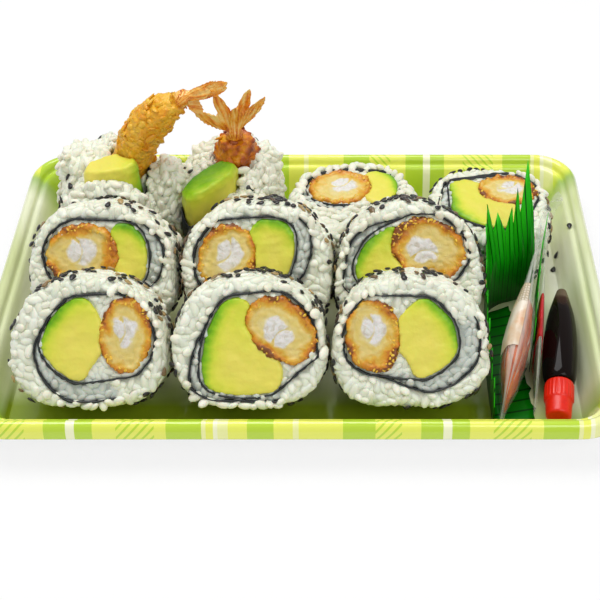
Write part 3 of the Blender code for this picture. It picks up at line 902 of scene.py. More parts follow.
# %% Prawn of a slice
def slice_prawn(name, face, facts):
    """The battered prawn of a slice: a crust, a soft layer and a white middle that lies off centre."""
    seed = facts["seed"]
    outline = outline_on(face, name + "_prawn")
    prawn = voxel_skin(welded_copy(name + "_prawn", name + "_battered_prawn"), 0.55 * MM)
    prawn.data.materials.append(battered)
    points, normals = points_of(prawn.data), normals_of(prawn.data)
    centre = outline.mean(axis=0)
    shell = reach(outline, centre)
    offset = face.local(points)[:, :2] - centre
    turn = turn_of(offset)
    share = np.hypot(offset[:, 0], offset[:, 1]) / shell[turn]

    heading = math.radians(random.Random(seed).uniform(0, 360))
    forward = np.array((math.cos(heading), math.sin(heading)))
    aside = offset - 0.16 * shell.mean() * forward
    meat_share = np.hypot(aside[:, 0], aside[:, 1]) / (shell[turn] * 0.44)
    meat_share += 0.25 * rough(points, 4 * MM, seed + 1, 2)
    meat = np.clip(1.5 - meat_share, 0, 1)
    across, ahead = aside @ np.array((-forward[1], forward[0])), aside @ forward
    groove = np.exp(-(((across - 0.12 * ahead ** 2) / 0.5) ** 2)) * (meat > 0.5)

    lumps = rough(points, 1.6 * MM, seed, 4)
    crags = rough(points, 3.2 * MM, seed + 2, 3)
    relief = 0.35 * meat - 0.45 * groove + 0.28 * lumps
    relief = np.where(share > 0.85, 0.45 + 0.6 * lumps + 0.7 * crags, relief)
    points += normals * (relief * MM)[:, None]
    points[:, 2] = np.maximum(points[:, 2], LOWEST_FOOD)
    put_points(prawn.data, points)
    paint(prawn.data, "ring", np.clip(share, 0, 1))
    paint(prawn.data, "flesh", meat - 0.6 * groove)

    # Flakes of crust go on the outer part of the front half only.
    middles = face.local([part.center for part in prawn.data.polygons])
    out = middles[:, :2] - centre
    out_share = np.hypot(*out.T) / shell[turn_of(out)]
    mark(prawn.data, "outside", (out_share > 0.78) & (middles[:, 2] > -1.5))
    place = face.local(points)
    scattered(prawn, Shape=flake, Spacing=1.1 * MM, Tilt=0.6, Sink=0.15 * MM, Smallest=0.3, Largest=0.62,
              Patchiness=2.5, Share=0.5, Seed=seed + 3, Material=crust)
    return prawn, place


# %% [markdown]
# The rice outside the seaweed is a bed with a rounded edge, covered with grains, and the sesame
# sticks to its skin. Seeds and grains are two scatters over two copies of the bed, since each has
# its own spacing. Where the bed comes near the tray it stays bare, or grains would go through the
# floor.


# %% Rice outside the seaweed
def outer_rice(name, face, facts, wall, skin):
    """The bed from the seaweed's outer side to the skin, with its grains and sesame."""
    seed, middle = facts["seed"], (wall.tail + skin) / 2
    inner = wall.tail + wall.thickness + 0.1
    bed = ring_solid(name + "_outer_rice", face, [
        (inner, -0.9), (middle, -0.7), (skin - 2.6, -0.9), (skin - 1.5, -2.2), (skin - 1.1, -5.5),
        (skin - 0.9, -THICK / 2), (skin - 1.1, 5.5 - THICK), (skin - 1.5, 2.2 - THICK),
        (skin - 2.6, 1.0 - THICK), (middle, 0.8 - THICK), (inner, 1.0 - THICK),
    ], rice_bed)
    # Rings 0 to 9 of the faces are outside, and 2 to 7 of them are the skin.
    order = np.arange(len(bed.data.polygons))
    height = np.array([part.center.z for part in bed.data.polygons])
    bare_below = (4.6 if facts.get("flat", False) else 2.7) * MM
    mark(bed.data, "outside", (order < TURNS * 10) & (height > bare_below))
    mark(bed.data, "skin", (order >= TURNS * 2) & (order < TURNS * 8) & (height > 3.6 * MM))
    seeds = twin_of(bed, name + "_sesame")
    scattered(bed, Shape=grain, Spacing=2.15 * MM, Tilt=0.26, Sink=0.42 * MM, Smallest=0.85, Largest=1.25,
              Seed=seed, Material=rice)
    hand_over(bed, "rice", name + "_rice")
    scattered(seeds, Shape=seed_shape, Where="skin", Spacing=2.4 * MM, Tilt=0.25, Sink=-1.25 * MM,
              Smallest=0.85, Largest=1.1, Patchiness=3.2, Share=0.27, Seed=seed + 1,
              Material=sesame_shell, Keep_surface=False)
    hand_over(seeds, "rice")


# %% [markdown]
# The rice inside is a plug that fills the seaweed's path. Grains are left out where a filling covers
# them. The number "cool" is high between the loop and its loose end, where the seaweed stains the
# rice from both sides and a painted shade darkens it as well.


# %% Rice inside the seaweed
CORE_STEPS = (0.12, 0.35, 0.55, 0.72, 0.86)  # rings on the flat faces, as shares of the way out


def inner_rice(name, face, facts, wall):
    """The plug of rice inside the seaweed, with painted shade and stain in the band, and paler by the
    fillings.
    """
    rings = [(wall.tail * share, -1.0) for share in CORE_STEPS]
    rings += [(wall.tail - 0.25, -1.15), (wall.tail - 0.25, 1.3 - THICK)]
    rings += [(wall.tail * share, 1.15 - THICK) for share in CORE_STEPS[::-1]]
    core = ring_solid(name + "_inner_rice", face, rings, rice_bed, closed=False)
    middles = face.local([part.center for part in core.data.polygons])
    covered = inside(outline_on(face, name + "_prawn"), middles[:, :2])
    covered |= inside(outline_on(face, name + "_avocado"), middles[:, :2])
    deep = (middles[:, 2] < -1.5) & (middles[:, 2] > 1.5 - THICK)
    deep |= np.array([part.center.z < 2.7 * MM for part in core.data.polygons])
    mark(core.data, "outside", ~(covered | deep))
    place = face.local(points_of(core.data))
    turn, far = turn_of(place[:, :2]), np.hypot(place[:, 0], place[:, 1])
    # Painted shade and the seaweed's stain, high in the band between the loop and the tail.
    cool = np.clip((far - wall.loop[turn] + 1.5) / 1.5, 0, 1) * (wall.band[turn] > 0.5)
    paint(core.data, "cool", 0.12 + 0.75 * cool)
    scattered(core, Shape=grain, Spacing=2.0 * MM, Tilt=0.2, Sink=0.4 * MM, Smallest=0.8, Largest=1.1,
              Seed=facts["seed"] + 2, Material=rice)
    hand_over(core, "rice")


# %% [markdown]
# The seaweed's path is worked out from the finished fillings: a loop that hugs them, and a tail that
# leaves the loop by up to the band's width. Both stay well inside the skin, so that rice always
# covers them. Then each slice is put together from its parts.


# %% Seaweed's path
RICE_COVER = 3.2  # rice between the seaweed and the skin, at least, in millimetres


class SeaweedPath:
    """The seaweed's reach in each direction: the loop, the tail and the band between them."""

    def __init__(self, facts, fillings, skin):
        seed = facts["seed"]
        loop = softened(fillings, 1) + 0.25 + 0.15 * wavy(seed, 2)
        self.loop = np.minimum(loop, skin - RICE_COVER)
        self.first, self.last = (round(angle / 360 * TURNS) for angle in facts["tail"])
        steps = np.arange(self.first, self.last + 1)
        share = (steps - self.first) / (self.last - self.first)
        self.band = np.zeros(TURNS)
        self.band[steps % TURNS] = facts["band"] * np.sin(np.clip(share * 1.25, 0, 1) * math.pi / 2) ** 1.3
        self.tail = np.minimum(self.loop + self.band, np.maximum(skin - RICE_COVER, self.loop))
        self.thickness = 0.6 + 0.5 * wavy(seed * 2, 9)


# %% Slices
def slice_pieces(name, facts):
    """All pieces of one slice."""
    face = Face(name, facts.get("flat", False))
    chunk, chunk_place = slice_avocado(name, face, facts)
    prawn, prawn_place = slice_prawn(name, face, facts)
    fillings = reach(hull(np.concatenate([chunk_place[:, :2], prawn_place[:, :2]])), blur=0)
    skin = reach(outline_on(face, name + "_rice"), blur=1) + 1.0  # the grains stand about 1 mm out
    wall = SeaweedPath(facts, fillings, skin)
    outer_rice(name, face, facts, wall, skin)
    inner_rice(name, face, facts, wall)
    hand_over(seaweed_wall(name + "_seaweed_loop", face, wall.loop, wall.thickness), "rice")
    tail = seaweed_wall(name + "_seaweed_tail", face, wall.tail, wall.thickness * 0.8, wall.first, wall.last)
    hand_over(tail, "rice")
    hand_over(chunk, "avocado", name + "_avocado")
    hand_over(prawn, "fried_batter", name + "_prawn")


for slice_name, slice_facts in SLICES.items():
    slice_pieces(slice_name, slice_facts)

# %% [markdown]
# ## The end pieces
#
# The ends of the roll are uneven, because the rice runs out before the prawn does. Each stands on
# its cut face, so the prawn's tail points up like a flag. The CAD drum gives the rice its place and
# size. A coarse skin is pulled in a little and pushed about by noise, and then the grains go on,
# steeper and looser than on a pressed slice.

# %% Rice of the ends
def end_rice(name, seed):
    """The ragged drum of rice of an end piece, with its sesame."""
    drum = voxel_skin(welded_copy(name + "_rice", name + "_loose_rice"), 1.3 * MM)
    drum.data.materials.clear()
    drum.data.materials.append(rice_bed)
    points, normals = points_of(drum.data), normals_of(drum.data)
    push = -1.5 + 1.7 * rough(points, 8 * MM, seed, 3)
    push = np.where(points[:, 2] < 3 * MM, -0.3, push)  # the foot stays flat on the tray
    put_points(drum.data, points + normals * (push * MM)[:, None])
    middle = points_of(drum.data).mean(axis=0)
    centers = np.array([part.center for part in drum.data.polygons])
    facing = np.array([part.normal for part in drum.data.polygons])
    outward = ((centers - middle)[:, :2] * facing[:, :2]).sum(axis=1) > -0.002
    mark(drum.data, "outside", (centers[:, 2] > 4.6 * MM) & (outward | (facing[:, 2] > 0.3)))
    side = (centers[:, 2] > 6 * MM) & (centers[:, 2] < 43 * MM) & (facing[:, 2] < 0.75)
    mark(drum.data, "skin", side & outward)
    seeds = twin_of(drum, name + "_sesame")
    scattered(drum, Shape=grain, Spacing=1.95 * MM, Tilt=0.75, Sink=-0.2 * MM, Smallest=0.85, Largest=1.2,
              Seed=seed, Material=rice)
    hand_over(drum, "rice", name + "_rice")
    scattered(seeds, Shape=seed_shape, Where="skin", Spacing=3.0 * MM, Tilt=0.35, Sink=-1.7 * MM,
              Smallest=0.85, Largest=1.1, Patchiness=2.5, Share=0.10, Seed=seed + 1, Material=sesame_shell,
              Keep_surface=False)
    hand_over(seeds, "rice")


for end_name, end_seed in (("end_left", 144), ("end_middle", 233)):
    end_rice(end_name, end_seed)

# %% [markdown]
# Some grains always break away. Heaps of them lie between the two ends, in front of the left avocado,
# beside the right one, on top and at the back. Grains could be dropped by a simulation, but a heap
# only has to look heaped, so each is a lumpy egg under a layer of grains that point anywhere.

# %% Loose rice
def rice_heap(name, centre, radii, bare_below, seed):
    """A lumpy egg covered with loose grains, except under a height; sizes in millimetres."""
    shape = bmesh.new()
    bmesh.ops.create_icosphere(shape, subdivisions=4, radius=1.0)
    for vertex in shape.verts:
        lump = 1 + 0.24 * noise.noise(vertex.co * 2.3 + Vector((seed, 0, 0)))
        vertex.co = Vector([middle + value * radius * lump
                            for middle, value, radius in zip(centre, vertex.co, radii)]) * MM
    heap = link(piece_from(shape, name))
    heap.data.materials.append(rice_bed)
    mark(heap.data, "outside", [part.center.z > bare_below * MM for part in heap.data.polygons])
    scattered(heap, Shape=grain, Spacing=2.0 * MM, Tilt=0.8, Sink=-0.1 * MM, Smallest=0.9, Largest=1.35,
              Seed=seed, Material=rice)
    hand_over(heap, "rice")


rice_heap("loose_rice_between", (-49.5, 33.0, 23.0), (8.5, 12.0, 16.5), 20, 377)
rice_heap("loose_rice_left", (-68.5, 19.5, 28.0), (15.0, 4.2, 12.5), 20, 610)
rice_heap("loose_rice_right", (-19.5, 22.5, 22.0), (8.5, 5.5, 12.5), 15, 987)
rice_heap("loose_rice_top", (-14.5, 40.0, 34.0), (6.0, 8.0, 6.5), 28, 1597)
rice_heap("loose_rice_back", (-80.0, 42.0, 33.0), (9.0, 9.0, 6.5), 28, 2584)

# %% [markdown]
# The seaweed is torn at the ends of a roll, and bits of it stick out between the rice and the
# fillings. A wall follows the fillings as seen from above, and noise sets how high it comes. It is
# lower in front, where the cut of the avocado shows.

# %% Torn seaweed
WALL_FOOT, FILLINGS_TOP = 12.0, 37.0  # the wall starts inside the rice, and the prawns' tops don't count
for end_name, middle_x, seed in (("end_left", -71.4, 3.0), ("end_middle", -26.9, 7.0)):
    centre = np.array((middle_x, 38.0))
    cloud = np.concatenate([points_of(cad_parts[end_name + part].data) / MM
                            for part in ("_avocado", "_prawn")])
    far = reach(hull(cloud[cloud[:, 2] < FILLINGS_TOP][:, :2] - centre), blur=3) + 0.8
    rise = np.where(SINES < 0, 10.0, 2.0) * SINES
    top, foot = 37.5 + 2.5 * COSINES + rise + 4.5 * wavy(seed, 4), np.full(TURNS, WALL_FOOT)
    rings = ((far, foot), (far, top), (far + 0.5, top), (far + 0.5, foot))
    points = [np.stack([centre[0] + COSINES * size, centre[1] + SINES * size, height], axis=1)
              for size, height in rings]
    faces = grid_faces(len(rings), TURNS, join_rows=True, join_columns=True)
    scrap = mesh_piece(end_name + "_torn_seaweed", np.concatenate(points) * MM, faces, nori)
    hand_over(outward(scrap), "rice")

# %% [markdown]
# The avocado at each end is one thick wedge that shows its side as well as its top. It is made as in
# the slices, but with a green that runs through the whole wedge along one slanted direction, because
# the knife cut it at a slant to the peel.

# %% Avocado of the ends
WEDGES = (("end_left", (0.95, 0.1, -0.25), 5.0), ("end_middle", (-0.45, 0.25, 0.85), 6.0))
for end_name, peel, seed in WEDGES:
    wedge = voxel_skin(welded_copy(end_name + "_avocado", end_name + "_avocado_flesh"), 0.6 * MM)
    wedge.data.materials.append(avocado)
    points, normals = points_of(wedge.data), normals_of(wedge.data)
    points += normals * (0.5 * MM * rough(points, 6 * MM, seed, 2)[:, None])
    put_points(wedge.data, points)
    top = points[:, 2] > points[:, 2].max() - 18 * MM  # the part that shows sets the range of green
    along = points @ np.array(peel)
    low_end, high_end = along[top].min(), along[top].max()
    paint(wedge.data, "green", np.clip((along - low_end) / (high_end - low_end), 0, 1) ** 1.8)
    hand_over(wedge, "avocado", end_name + "_avocado")

# %% [markdown]
# ## Battered prawns with their tails
#
# The prawns of the ends stand out of the rice with their whole crust showing. Two sizes of noise push
# an even skin in and out, and the height of each point becomes its "peak".

# %% Battered prawns
for end_name, seed, brown in (("end_left", 2.0, 0.26), ("end_middle", 9.0, 0.82)):
    body = voxel_skin(welded_copy(end_name + "_prawn", end_name + "_fried_prawn"), 0.5 * MM)
    body.data.materials.append(crust)
    points, normals = points_of(body.data), normals_of(body.data)
    push = 0.95 * rough(points, 4.5 * MM, seed, 3) + 0.4 * rough(points, 1.4 * MM, seed + 3, 3) - 0.1
    put_points(body.data, points + normals * (push * MM)[:, None])
    paint(body.data, "peak", np.clip(brown + 0.45 * push, 0, 1))
    mark(body.data, "outside", [part.center.z > 30 * MM for part in body.data.polygons])
    scattered(body, Shape=flake, Spacing=2.1 * MM, Tilt=0.6, Sink=0.0, Smallest=0.6, Largest=1.7,
              Patchiness=2.5, Share=0.45, Seed=int(seed), Material=crust)
    hand_over(body, "fried_batter", end_name + "_prawn")

# %% [markdown]
# ## Tails
#
# A prawn's tail is a fan of thin shell blades round a pointed one. Frying turns the shell orange
# and half see-through, with dark ribs that run out from the root. The CAD fan has the right places,
# so the pieces keep its shape on a fine skin that is pulled in to thin blades, with ribs along them.

# %% Fried shell material
shell, tree = new_material("Fried prawn shell")
place = add(tree, "ShaderNodeTexCoord")
streak = add(tree, "ShaderNodeAttribute", attribute_name="streak")
spots = add(
    tree, "ShaderNodeTexNoise",
    {"Vector": place.outputs["Object"], "Scale": scale_for(3.85), "Detail": 3.0},
)
spotted = add(
    tree, "ShaderNodeMath",
    {0: spots.outputs["Fac"], 1: 0.5, 2: streak.outputs["Fac"]},
    operation="MULTIPLY_ADD",
)
colour = add(
    tree, "ShaderNodeValToRGB", {"Fac": spotted.outputs[0]},
    stops=((0.3, "#f6cf78"), (0.48, "#f0a636"), (0.62, "#dd7c10"), (0.78, "#b85006"), (0.95, "#6e2604")),
)
bump = add(tree, "ShaderNodeBump", {"Height": streak.outputs["Fac"], "Strength": 0.5, "Distance": 0.0006})
shader = add(
    tree, "ShaderNodeBsdfPrincipled",
    {
        "Base Color": colour.outputs["Color"], "Roughness": 0.24, "Subsurface Weight": 0.06,
        "Subsurface Scale": 0.001, "Coat Weight": 0.3, "Coat Roughness": 0.15,
        "Normal": bump.outputs["Normal"],
    },
)
close_material(tree, shader)

# %% Tails
TAILS = (  # end, root, heading, noise seed, how dark the root is and how far that runs
    ("end_left", (-41.3, 34.4, 67.1), (0.88, 0.0, 0.47), 4.0, 0.1, 6),
    ("end_middle", (-23.5, 38.4, 48.8), (0.0, 0.0, 1.0), 8.0, 0.22, 9),
)
for end_name, root, heading, seed, dark, dark_reach in TAILS:
    tail = voxel_skin(welded_copy(end_name + "_tail", end_name + "_shell"), 0.32 * MM)
    tail.data.materials.append(shell)
    points, normals = points_of(tail.data), normals_of(tail.data)
    offset = points / MM - np.array(root)
    ahead = offset @ np.array(heading)
    beside = offset @ np.array((heading[2], 0.0, -heading[0]))
    # Ribs run out from the root, so they follow the angle at which a point is seen from it.
    angle, far = np.arctan2(beside, np.abs(ahead) + 3.0), np.hypot(ahead, beside)
    ribs = np.array([noise.fractal(Vector((a * 16, f * 0.12, seed)), 0.9, 2.1, 3)
                     for a, f in zip(angle, far)])
    push = -0.42 + 0.22 * ribs + 0.2 * rough(points, 1.5 * MM, seed, 2)
    put_points(tail.data, points + normals * (np.where(far > 3, push, 0.2) * MM)[:, None])
    paint(tail.data, "streak", 0.2 + 0.35 * ribs + dark * np.clip(1 - far / dark_reach, 0, 1))
    hand_over(tail, "prawn_shell", end_name + "_tail")

# %% [markdown]
# ## Tray
#
# The tray is a foam sheet with a printed film on top, pressed to shape in one go, so it has round
# corners everywhere and a rolled lip that carries one long highlight. It is made here with the CAD
# tray's stations, on a finer grid: a smooth curve through them gives the lip its roundness.

# %% Tray shape
low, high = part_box("tray")
WIDTH, DEPTH, HEIGHT = (high - low) / MM
FOAM = 1.0  # thickness of the sheet in millimetres
# Each station is how far in it lies, in millimetres, and its share of the height.
STATIONS = (
    (0.0, 0.70), (0.4, 0.85), (1.6, 0.97), (3.2, 1.0), (4.6, 0.94), (5.4, 0.82), (7.4, 0.77),
    (11.6, 0.12), (12.5, 0.065), (14.0, FOAM / HEIGHT),
)
QUARTERS = ((1, 1), (-1, 1), (-1, -1), (1, -1))  # signs of x and y at each corner
CORNER_STEPS, SIDE_STEPS = 12, 10


def smooth_line(points, steps):
    """A smooth curve through points (a Catmull-Rom curve), with steps along each stretch."""
    points = [Vector(point) for point in points]
    line = []
    for index in range(len(points) - 1):
        before, start = points[max(index - 1, 0)], points[index]
        end, after = points[index + 1], points[min(index + 2, len(points) - 1)]
        for step in range(steps):
            t = step / steps
            line.append(0.5 * (
                2 * start + (end - before) * t + (2 * before - 5 * start + 4 * end - after) * t * t
                + (3 * start - before - 3 * end + after) * t ** 3
            ))
    line.append(points[-1])
    return line


def tray_ring(inset, height, corner):
    """Points round the tray at one inset, with points along the straight sides as well."""
    half_x, half_y = WIDTH / 2 - inset, DEPTH / 2 - inset
    corner = max(corner, 3.0)

    def corner_point(quarter, step):
        sign_x, sign_y = QUARTERS[quarter % 4]
        turn = math.pi / 2 * (quarter + step / CORNER_STEPS)
        return Vector((sign_x * (half_x - corner) + corner * math.cos(turn),
                       sign_y * (half_y - corner) + corner * math.sin(turn), height))

    ring = []
    for quarter in range(4):
        ring += [corner_point(quarter, step) for step in range(CORNER_STEPS + 1)]
        start, end = ring[-1], corner_point(quarter + 1, 0)
        ring += [start.lerp(end, step / SIDE_STEPS) for step in range(1, SIDE_STEPS)]
    return ring


profile = smooth_line([(inset, share * HEIGHT) for inset, share in STATIONS], 4)
# Corners get tighter on the way in, down to a radius of about 6 mm round the floor.
rings = [tray_ring(inset, max(height, FOAM), 16 - inset * 0.8 if inset < 12.6 else 6 + (14 - inset) * 0.3)
         for inset, height in profile]
rings += [[(x * share, y * share, FOAM) for x, y, _ in rings[-1]] for share in (0.85, 0.6, 0.3)]
around = len(rings[0])
faces = grid_faces(len(rings), around, join_columns=True)
faces.append(tuple(range((len(rings) - 1) * around, len(rings) * around)))
points = np.concatenate([np.array(ring) for ring in rings]) * MM
print("tray profile:", len(profile), "stations,", around, "points round each")

# %% [markdown]
# The film is printed with a plaid of lime greens along the front and the back: broad fields of
# yellow-green and leaf-green, narrow white lines, and groups of fine slanted hatching. Towards the
# short sides the print fades to a pale, cloudy green. The fields repeat every 119 mm along the tray,
# so one colour ramp with hard stops holds a repeat. An image texture would do it too, but stops can
# be read and changed. The glossy film gives the eye sharp highlights along the lip.

# %% Printed film material
REPEAT, PRINT_SHIFT = 0.1191, 0.594  # length of the plaid in metres, and where along it x = 0 is
HATCH_GAP, HATCH_SLANT = 0.002856, -0.0009  # metres from line to line, and sideways a millimetre
YELLOW, LEAF, WHITE, PALE = "#ecf160", "#bbdb34", "#f5f7cc", "#f0f3a4"
film, tree = new_material("Printed film on foam sheet")
place = add(tree, "ShaderNodeTexCoord")
axes = add(tree, "ShaderNodeSeparateXYZ", {"Vector": place.outputs["Object"]})
repeat = add(
    tree, "ShaderNodeMath", {0: axes.outputs["X"], 1: 1 / REPEAT, 2: PRINT_SHIFT}, operation="MULTIPLY_ADD"
)
within = add(tree, "ShaderNodeMath", {0: repeat.outputs[0]}, operation="FRACT")
plaid = add(
    tree, "ShaderNodeValToRGB", {"Fac": within.outputs[0]},
    stops=(
        (0.0, WHITE), (0.012, LEAF), (0.06, YELLOW), (0.255, LEAF), (0.35, PALE), (0.362, YELLOW),
        (0.382, WHITE), (0.394, PALE), (0.42, YELLOW), (0.47, LEAF), (0.54, YELLOW), (0.592, PALE),
        (0.606, YELLOW), (0.726, LEAF), (0.81, YELLOW), (0.93, LEAF), (0.99, WHITE),
    ),
)
plaid.color_ramp.interpolation = "CONSTANT"

# %% [markdown]
# Some fields carry slanted hatching. It has to follow the film over the rolled lip, so it reads the
# number "girth", which is how far a point is along the tray's profile. A sine wave with a steep
# threshold turns that into lines, and one more ramp says which fields have them.

# %% Hatching
girth = add(tree, "ShaderNodeAttribute", attribute_name="girth")
slant = add(
    tree, "ShaderNodeMath", {0: girth.outputs["Fac"], 1: HATCH_SLANT, 2: axes.outputs["X"]},
    operation="MULTIPLY_ADD",
)
lines = add(tree, "ShaderNodeMath", {0: slant.outputs[0], 1: math.tau / HATCH_GAP}, operation="MULTIPLY")
wave = add(tree, "ShaderNodeMath", {0: lines.outputs[0]}, operation="SINE")
fine_line = add(tree, "ShaderNodeMapRange", {"Value": wave.outputs[0], "From Min": 0.35, "From Max": 0.7})
group = add(
    tree, "ShaderNodeValToRGB", {"Fac": within.outputs[0]},
    stops=((0.0, "#000000"), (0.125, "#ffffff"), (0.225, "#000000"), (0.75, "#ffffff"), (0.88, "#000000")),
)
group.color_ramp.interpolation = "CONSTANT"
hatch = add(
    tree, "ShaderNodeMath", {0: fine_line.outputs["Result"], 1: group.outputs["Color"]}, operation="MULTIPLY"
)
hatched = add(
    tree, "ShaderNodeMix",
    {"Factor": hatch.outputs[0], "A": plaid.outputs["Color"], "B": LEAF},
    data_type="RGBA",
)

# %% [markdown]
# Away from the long sides the print fades to a cloudy green. Noise stretched along the short sides
# makes its streaks, and the same noise makes the border of the plaid uneven, as worn print is.

# %% Cloudy sides
# Streaks 11 mm wide and 71 mm long.
STREAKS = (scale_for(11.11), scale_for(71.4), scale_for(11.11))
long_streaks = add(tree, "ShaderNodeMapping", {"Vector": place.outputs["Object"], "Scale": STREAKS})
cloud = add(
    tree, "ShaderNodeTexNoise",
    {"Vector": long_streaks.outputs["Vector"], "Scale": 1.0, "Detail": 3.0},
)
pale = add(
    tree, "ShaderNodeValToRGB", {"Fac": cloud.outputs["Fac"]},
    stops=((0.3, "#c9d494"), (0.5, "#dfe5bc"), (0.7, "#f1f3dc")),
)
away = add(tree, "ShaderNodeMath", {0: axes.outputs["Y"]}, operation="ABSOLUTE")
wobble = add(
    tree, "ShaderNodeMath",
    {0: cloud.outputs["Fac"], 1: 0.008, 2: away.outputs[0]},
    operation="MULTIPLY_ADD",
)
edge = add(tree, "ShaderNodeMapRange", {"Value": wobble.outputs[0], "From Min": 0.049, "From Max": 0.064})
towards = add(
    tree, "ShaderNodeValToRGB", {"Fac": edge.outputs["Result"]},
    stops=((0.0, "#c9d89a"), (0.35, "#8fb03a"), (0.7, "#86b02c"), (1.0, "#a9cc22")),
)
side_mix = add(
    tree, "ShaderNodeMix",
    {"Factor": edge.outputs["Result"], "A": pale.outputs["Color"], "B": towards.outputs["Color"]},
    data_type="RGBA",
)

# %% [markdown]
# The floor in front, under the rolls, is a deep olive as far as the grass divider: partly the green
# print and partly painted shadow of the rolls. Three soft limits, one for each axis, are multiplied to
# say where. Last, the plaid is laid over everything near the long sides.

# %% Olive print and painted shadow on the floor, and the finished film
forward = add(tree, "ShaderNodeMapRange", {"Value": axes.outputs["Y"], "From Min": -0.034, "From Max": -0.05})
leftward = add(tree, "ShaderNodeMapRange", {"Value": axes.outputs["X"], "From Min": 0.072, "From Max": 0.064})
inward = add(tree, "ShaderNodeMapRange", {"Value": axes.outputs["Z"], "From Min": 0.0055, "From Max": 0.0025})
floor_part = add(
    tree, "ShaderNodeMath",
    {0: forward.outputs["Result"], 1: leftward.outputs["Result"]},
    operation="MULTIPLY",
)
olive_part = add(
    tree, "ShaderNodeMath", {0: floor_part.outputs[0], 1: inward.outputs["Result"]}, operation="MULTIPLY"
)
# The olive is the green print together with a painted shadow of the rolls on the floor.
olive = add(
    tree, "ShaderNodeMix", {"Factor": olive_part.outputs[0], "A": side_mix.outputs["Result"], "B": "#84981c"},
    data_type="RGBA",
)
full = add(tree, "ShaderNodeMapRange", {"Value": wobble.outputs[0], "From Min": 0.061, "From Max": 0.0655})
printed = add(
    tree, "ShaderNodeMix",
    {"Factor": full.outputs["Result"], "A": olive.outputs["Result"], "B": hatched.outputs["Result"]},
    data_type="RGBA",
)
shader = add(
    tree, "ShaderNodeBsdfPrincipled",
    {"Base Color": printed.outputs["Result"], "Roughness": 0.16, "Coat Weight": 0.5, "Coat Roughness": 0.06},
)
close_material(tree, shader)

# %% [markdown]
# The sheet under the film is expanded polystyrene: white, dull, and faintly dimpled by its beads. A
# Voronoi texture has cells of just that kind. It gives the eye a soft, dry underside.

# %% Foam material and tray
foam, tree = new_material("White polystyrene foam sheet")
place = add(tree, "ShaderNodeTexCoord")
beads = add(tree, "ShaderNodeTexVoronoi", {"Vector": place.outputs["Object"], "Scale": scale_for(1.43)})
bump = add(
    tree, "ShaderNodeBump",
    {"Height": beads.outputs["Distance"], "Strength": 0.15, "Distance": 0.0002},
)
shader = add(
    tree, "ShaderNodeBsdfPrincipled",
    {"Base Color": "#f3f4ee", "Roughness": 0.55, "Normal": bump.outputs["Normal"]},
)
close_material(tree, shader)

tray = mesh_piece("tray_sheet", points, faces, film, foam)
girths = [0.0, *np.cumsum([math.hypot(b[0] - a[0], b[1] - a[1]) for a, b in zip(profile, profile[1:])])]
girths += [girths[-1]] * (len(rings) - len(profile))
paint(tray.data, "girth", np.repeat(girths, around))
if sum(part.normal.z * part.area for part in tray.data.polygons) < 0:
    tray.data.flip_normals()
thicken(tray, FOAM, offset=-1, under=1)
hand_over(tray, "printed_foam", "tray")

# %% [markdown]
# ## Grass divider
#
# The divider, called baran, is a thin sheet of green plastic cut into blades, printed with fine dark
# lines that run up each blade. It stands between the rice and the ginger. It is built from rows of
# points: a foot line that bends round the back slice, and a saw of tips that lean back over it.

# %% Grass film material
grass, tree = new_material("Printed green plastic film")
vein = add(tree, "ShaderNodeAttribute", attribute_name="vein")
up = add(tree, "ShaderNodeAttribute", attribute_name="rise")
lines = add(tree, "ShaderNodeMath", {0: vein.outputs["Fac"], 1: math.tau}, operation="MULTIPLY")
wave = add(tree, "ShaderNodeMath", {0: lines.outputs[0]}, operation="COSINE")
thin = add(tree, "ShaderNodeMapRange", {"Value": wave.outputs[0], "From Min": 0.75, "From Max": 0.98})
# From the foot up the green goes from dark to bright: painted shade low down, and painted light through the
# film at the tips.
body_colour = add(
    tree, "ShaderNodeValToRGB", {"Fac": up.outputs["Fac"]},
    stops=((0.0, "#067208"), (0.4, "#0a980c"), (0.62, "#18c014"), (1.0, "#34d81c")),
)
lined = add(
    tree, "ShaderNodeMix",
    {"Factor": thin.outputs["Result"], "A": body_colour.outputs["Color"], "B": "#033e06"},
    data_type="RGBA",
)
face_shader = add(
    tree, "ShaderNodeBsdfPrincipled",
    {"Base Color": lined.outputs["Result"], "Roughness": 0.3, "Specular IOR Level": 0.22},
)
through = add(tree, "ShaderNodeBsdfTranslucent", {"Color": lined.outputs["Result"]})
mixed = add(tree, "ShaderNodeMixShader", {0: 0.3, 1: face_shader.outputs[0], 2: through.outputs[0]})
close_material(tree, mixed)

# %% Grass divider
# Each column is its foot's x and y, and its top's x, y and z; tips and notches take turns.
GRASS = (
    ((65.3, -59.0), (65.0, -59.0, 10)), ((65.2, -54.0), (64.9, -53.5, 19)),
    ((65.1, -49.0), (65.0, -48.5, 12)), ((65.0, -44.0), (64.8, -43.0, 22)),
    ((65.0, -39.0), (64.9, -38.5, 14)), ((65.0, -34.0), (64.7, -32.0, 25)),
    ((65.0, -29.0), (64.9, -28.0, 17)), ((65.0, -24.0), (64.7, -21.5, 28)),
    ((65.1, -19.5), (65.0, -18.0, 21)), ((65.3, -15.0), (64.7, -11.5, 33)),
    ((65.8, -11.0), (65.6, -8.5, 27)), ((66.8, -7.0), (64.8, -1.0, 40)),
    ((68.0, -4.5), (66.0, 3.0, 32)), ((69.5, -2.5), (65.6, 6.0, 43)),
    ((71.0, -1.2), (68.7, 6.0, 31)), ((72.5, -0.2), (70.0, 9.0, 37)),
    ((74.2, 0.6), (73.0, 6.8, 30)), ((76.0, 1.2), (75.0, 10.0, 39)),
    ((77.6, 1.8), (75.6, 7.2, 32)), ((79.2, 2.4), (76.5, 12.0, 46)),
    ((80.8, 3.0), (77.8, 8.2, 36)), ((82.4, 3.6), (79.6, 16.0, 55)),
    ((84.4, 4.4), (82.5, 9.0, 37)),
)
LEVELS, BETWEEN = 12, 4  # rows up the sheet, and columns from a tip to a notch
KNEE = 27.2  # the height in millimetres where the sheet starts to lean


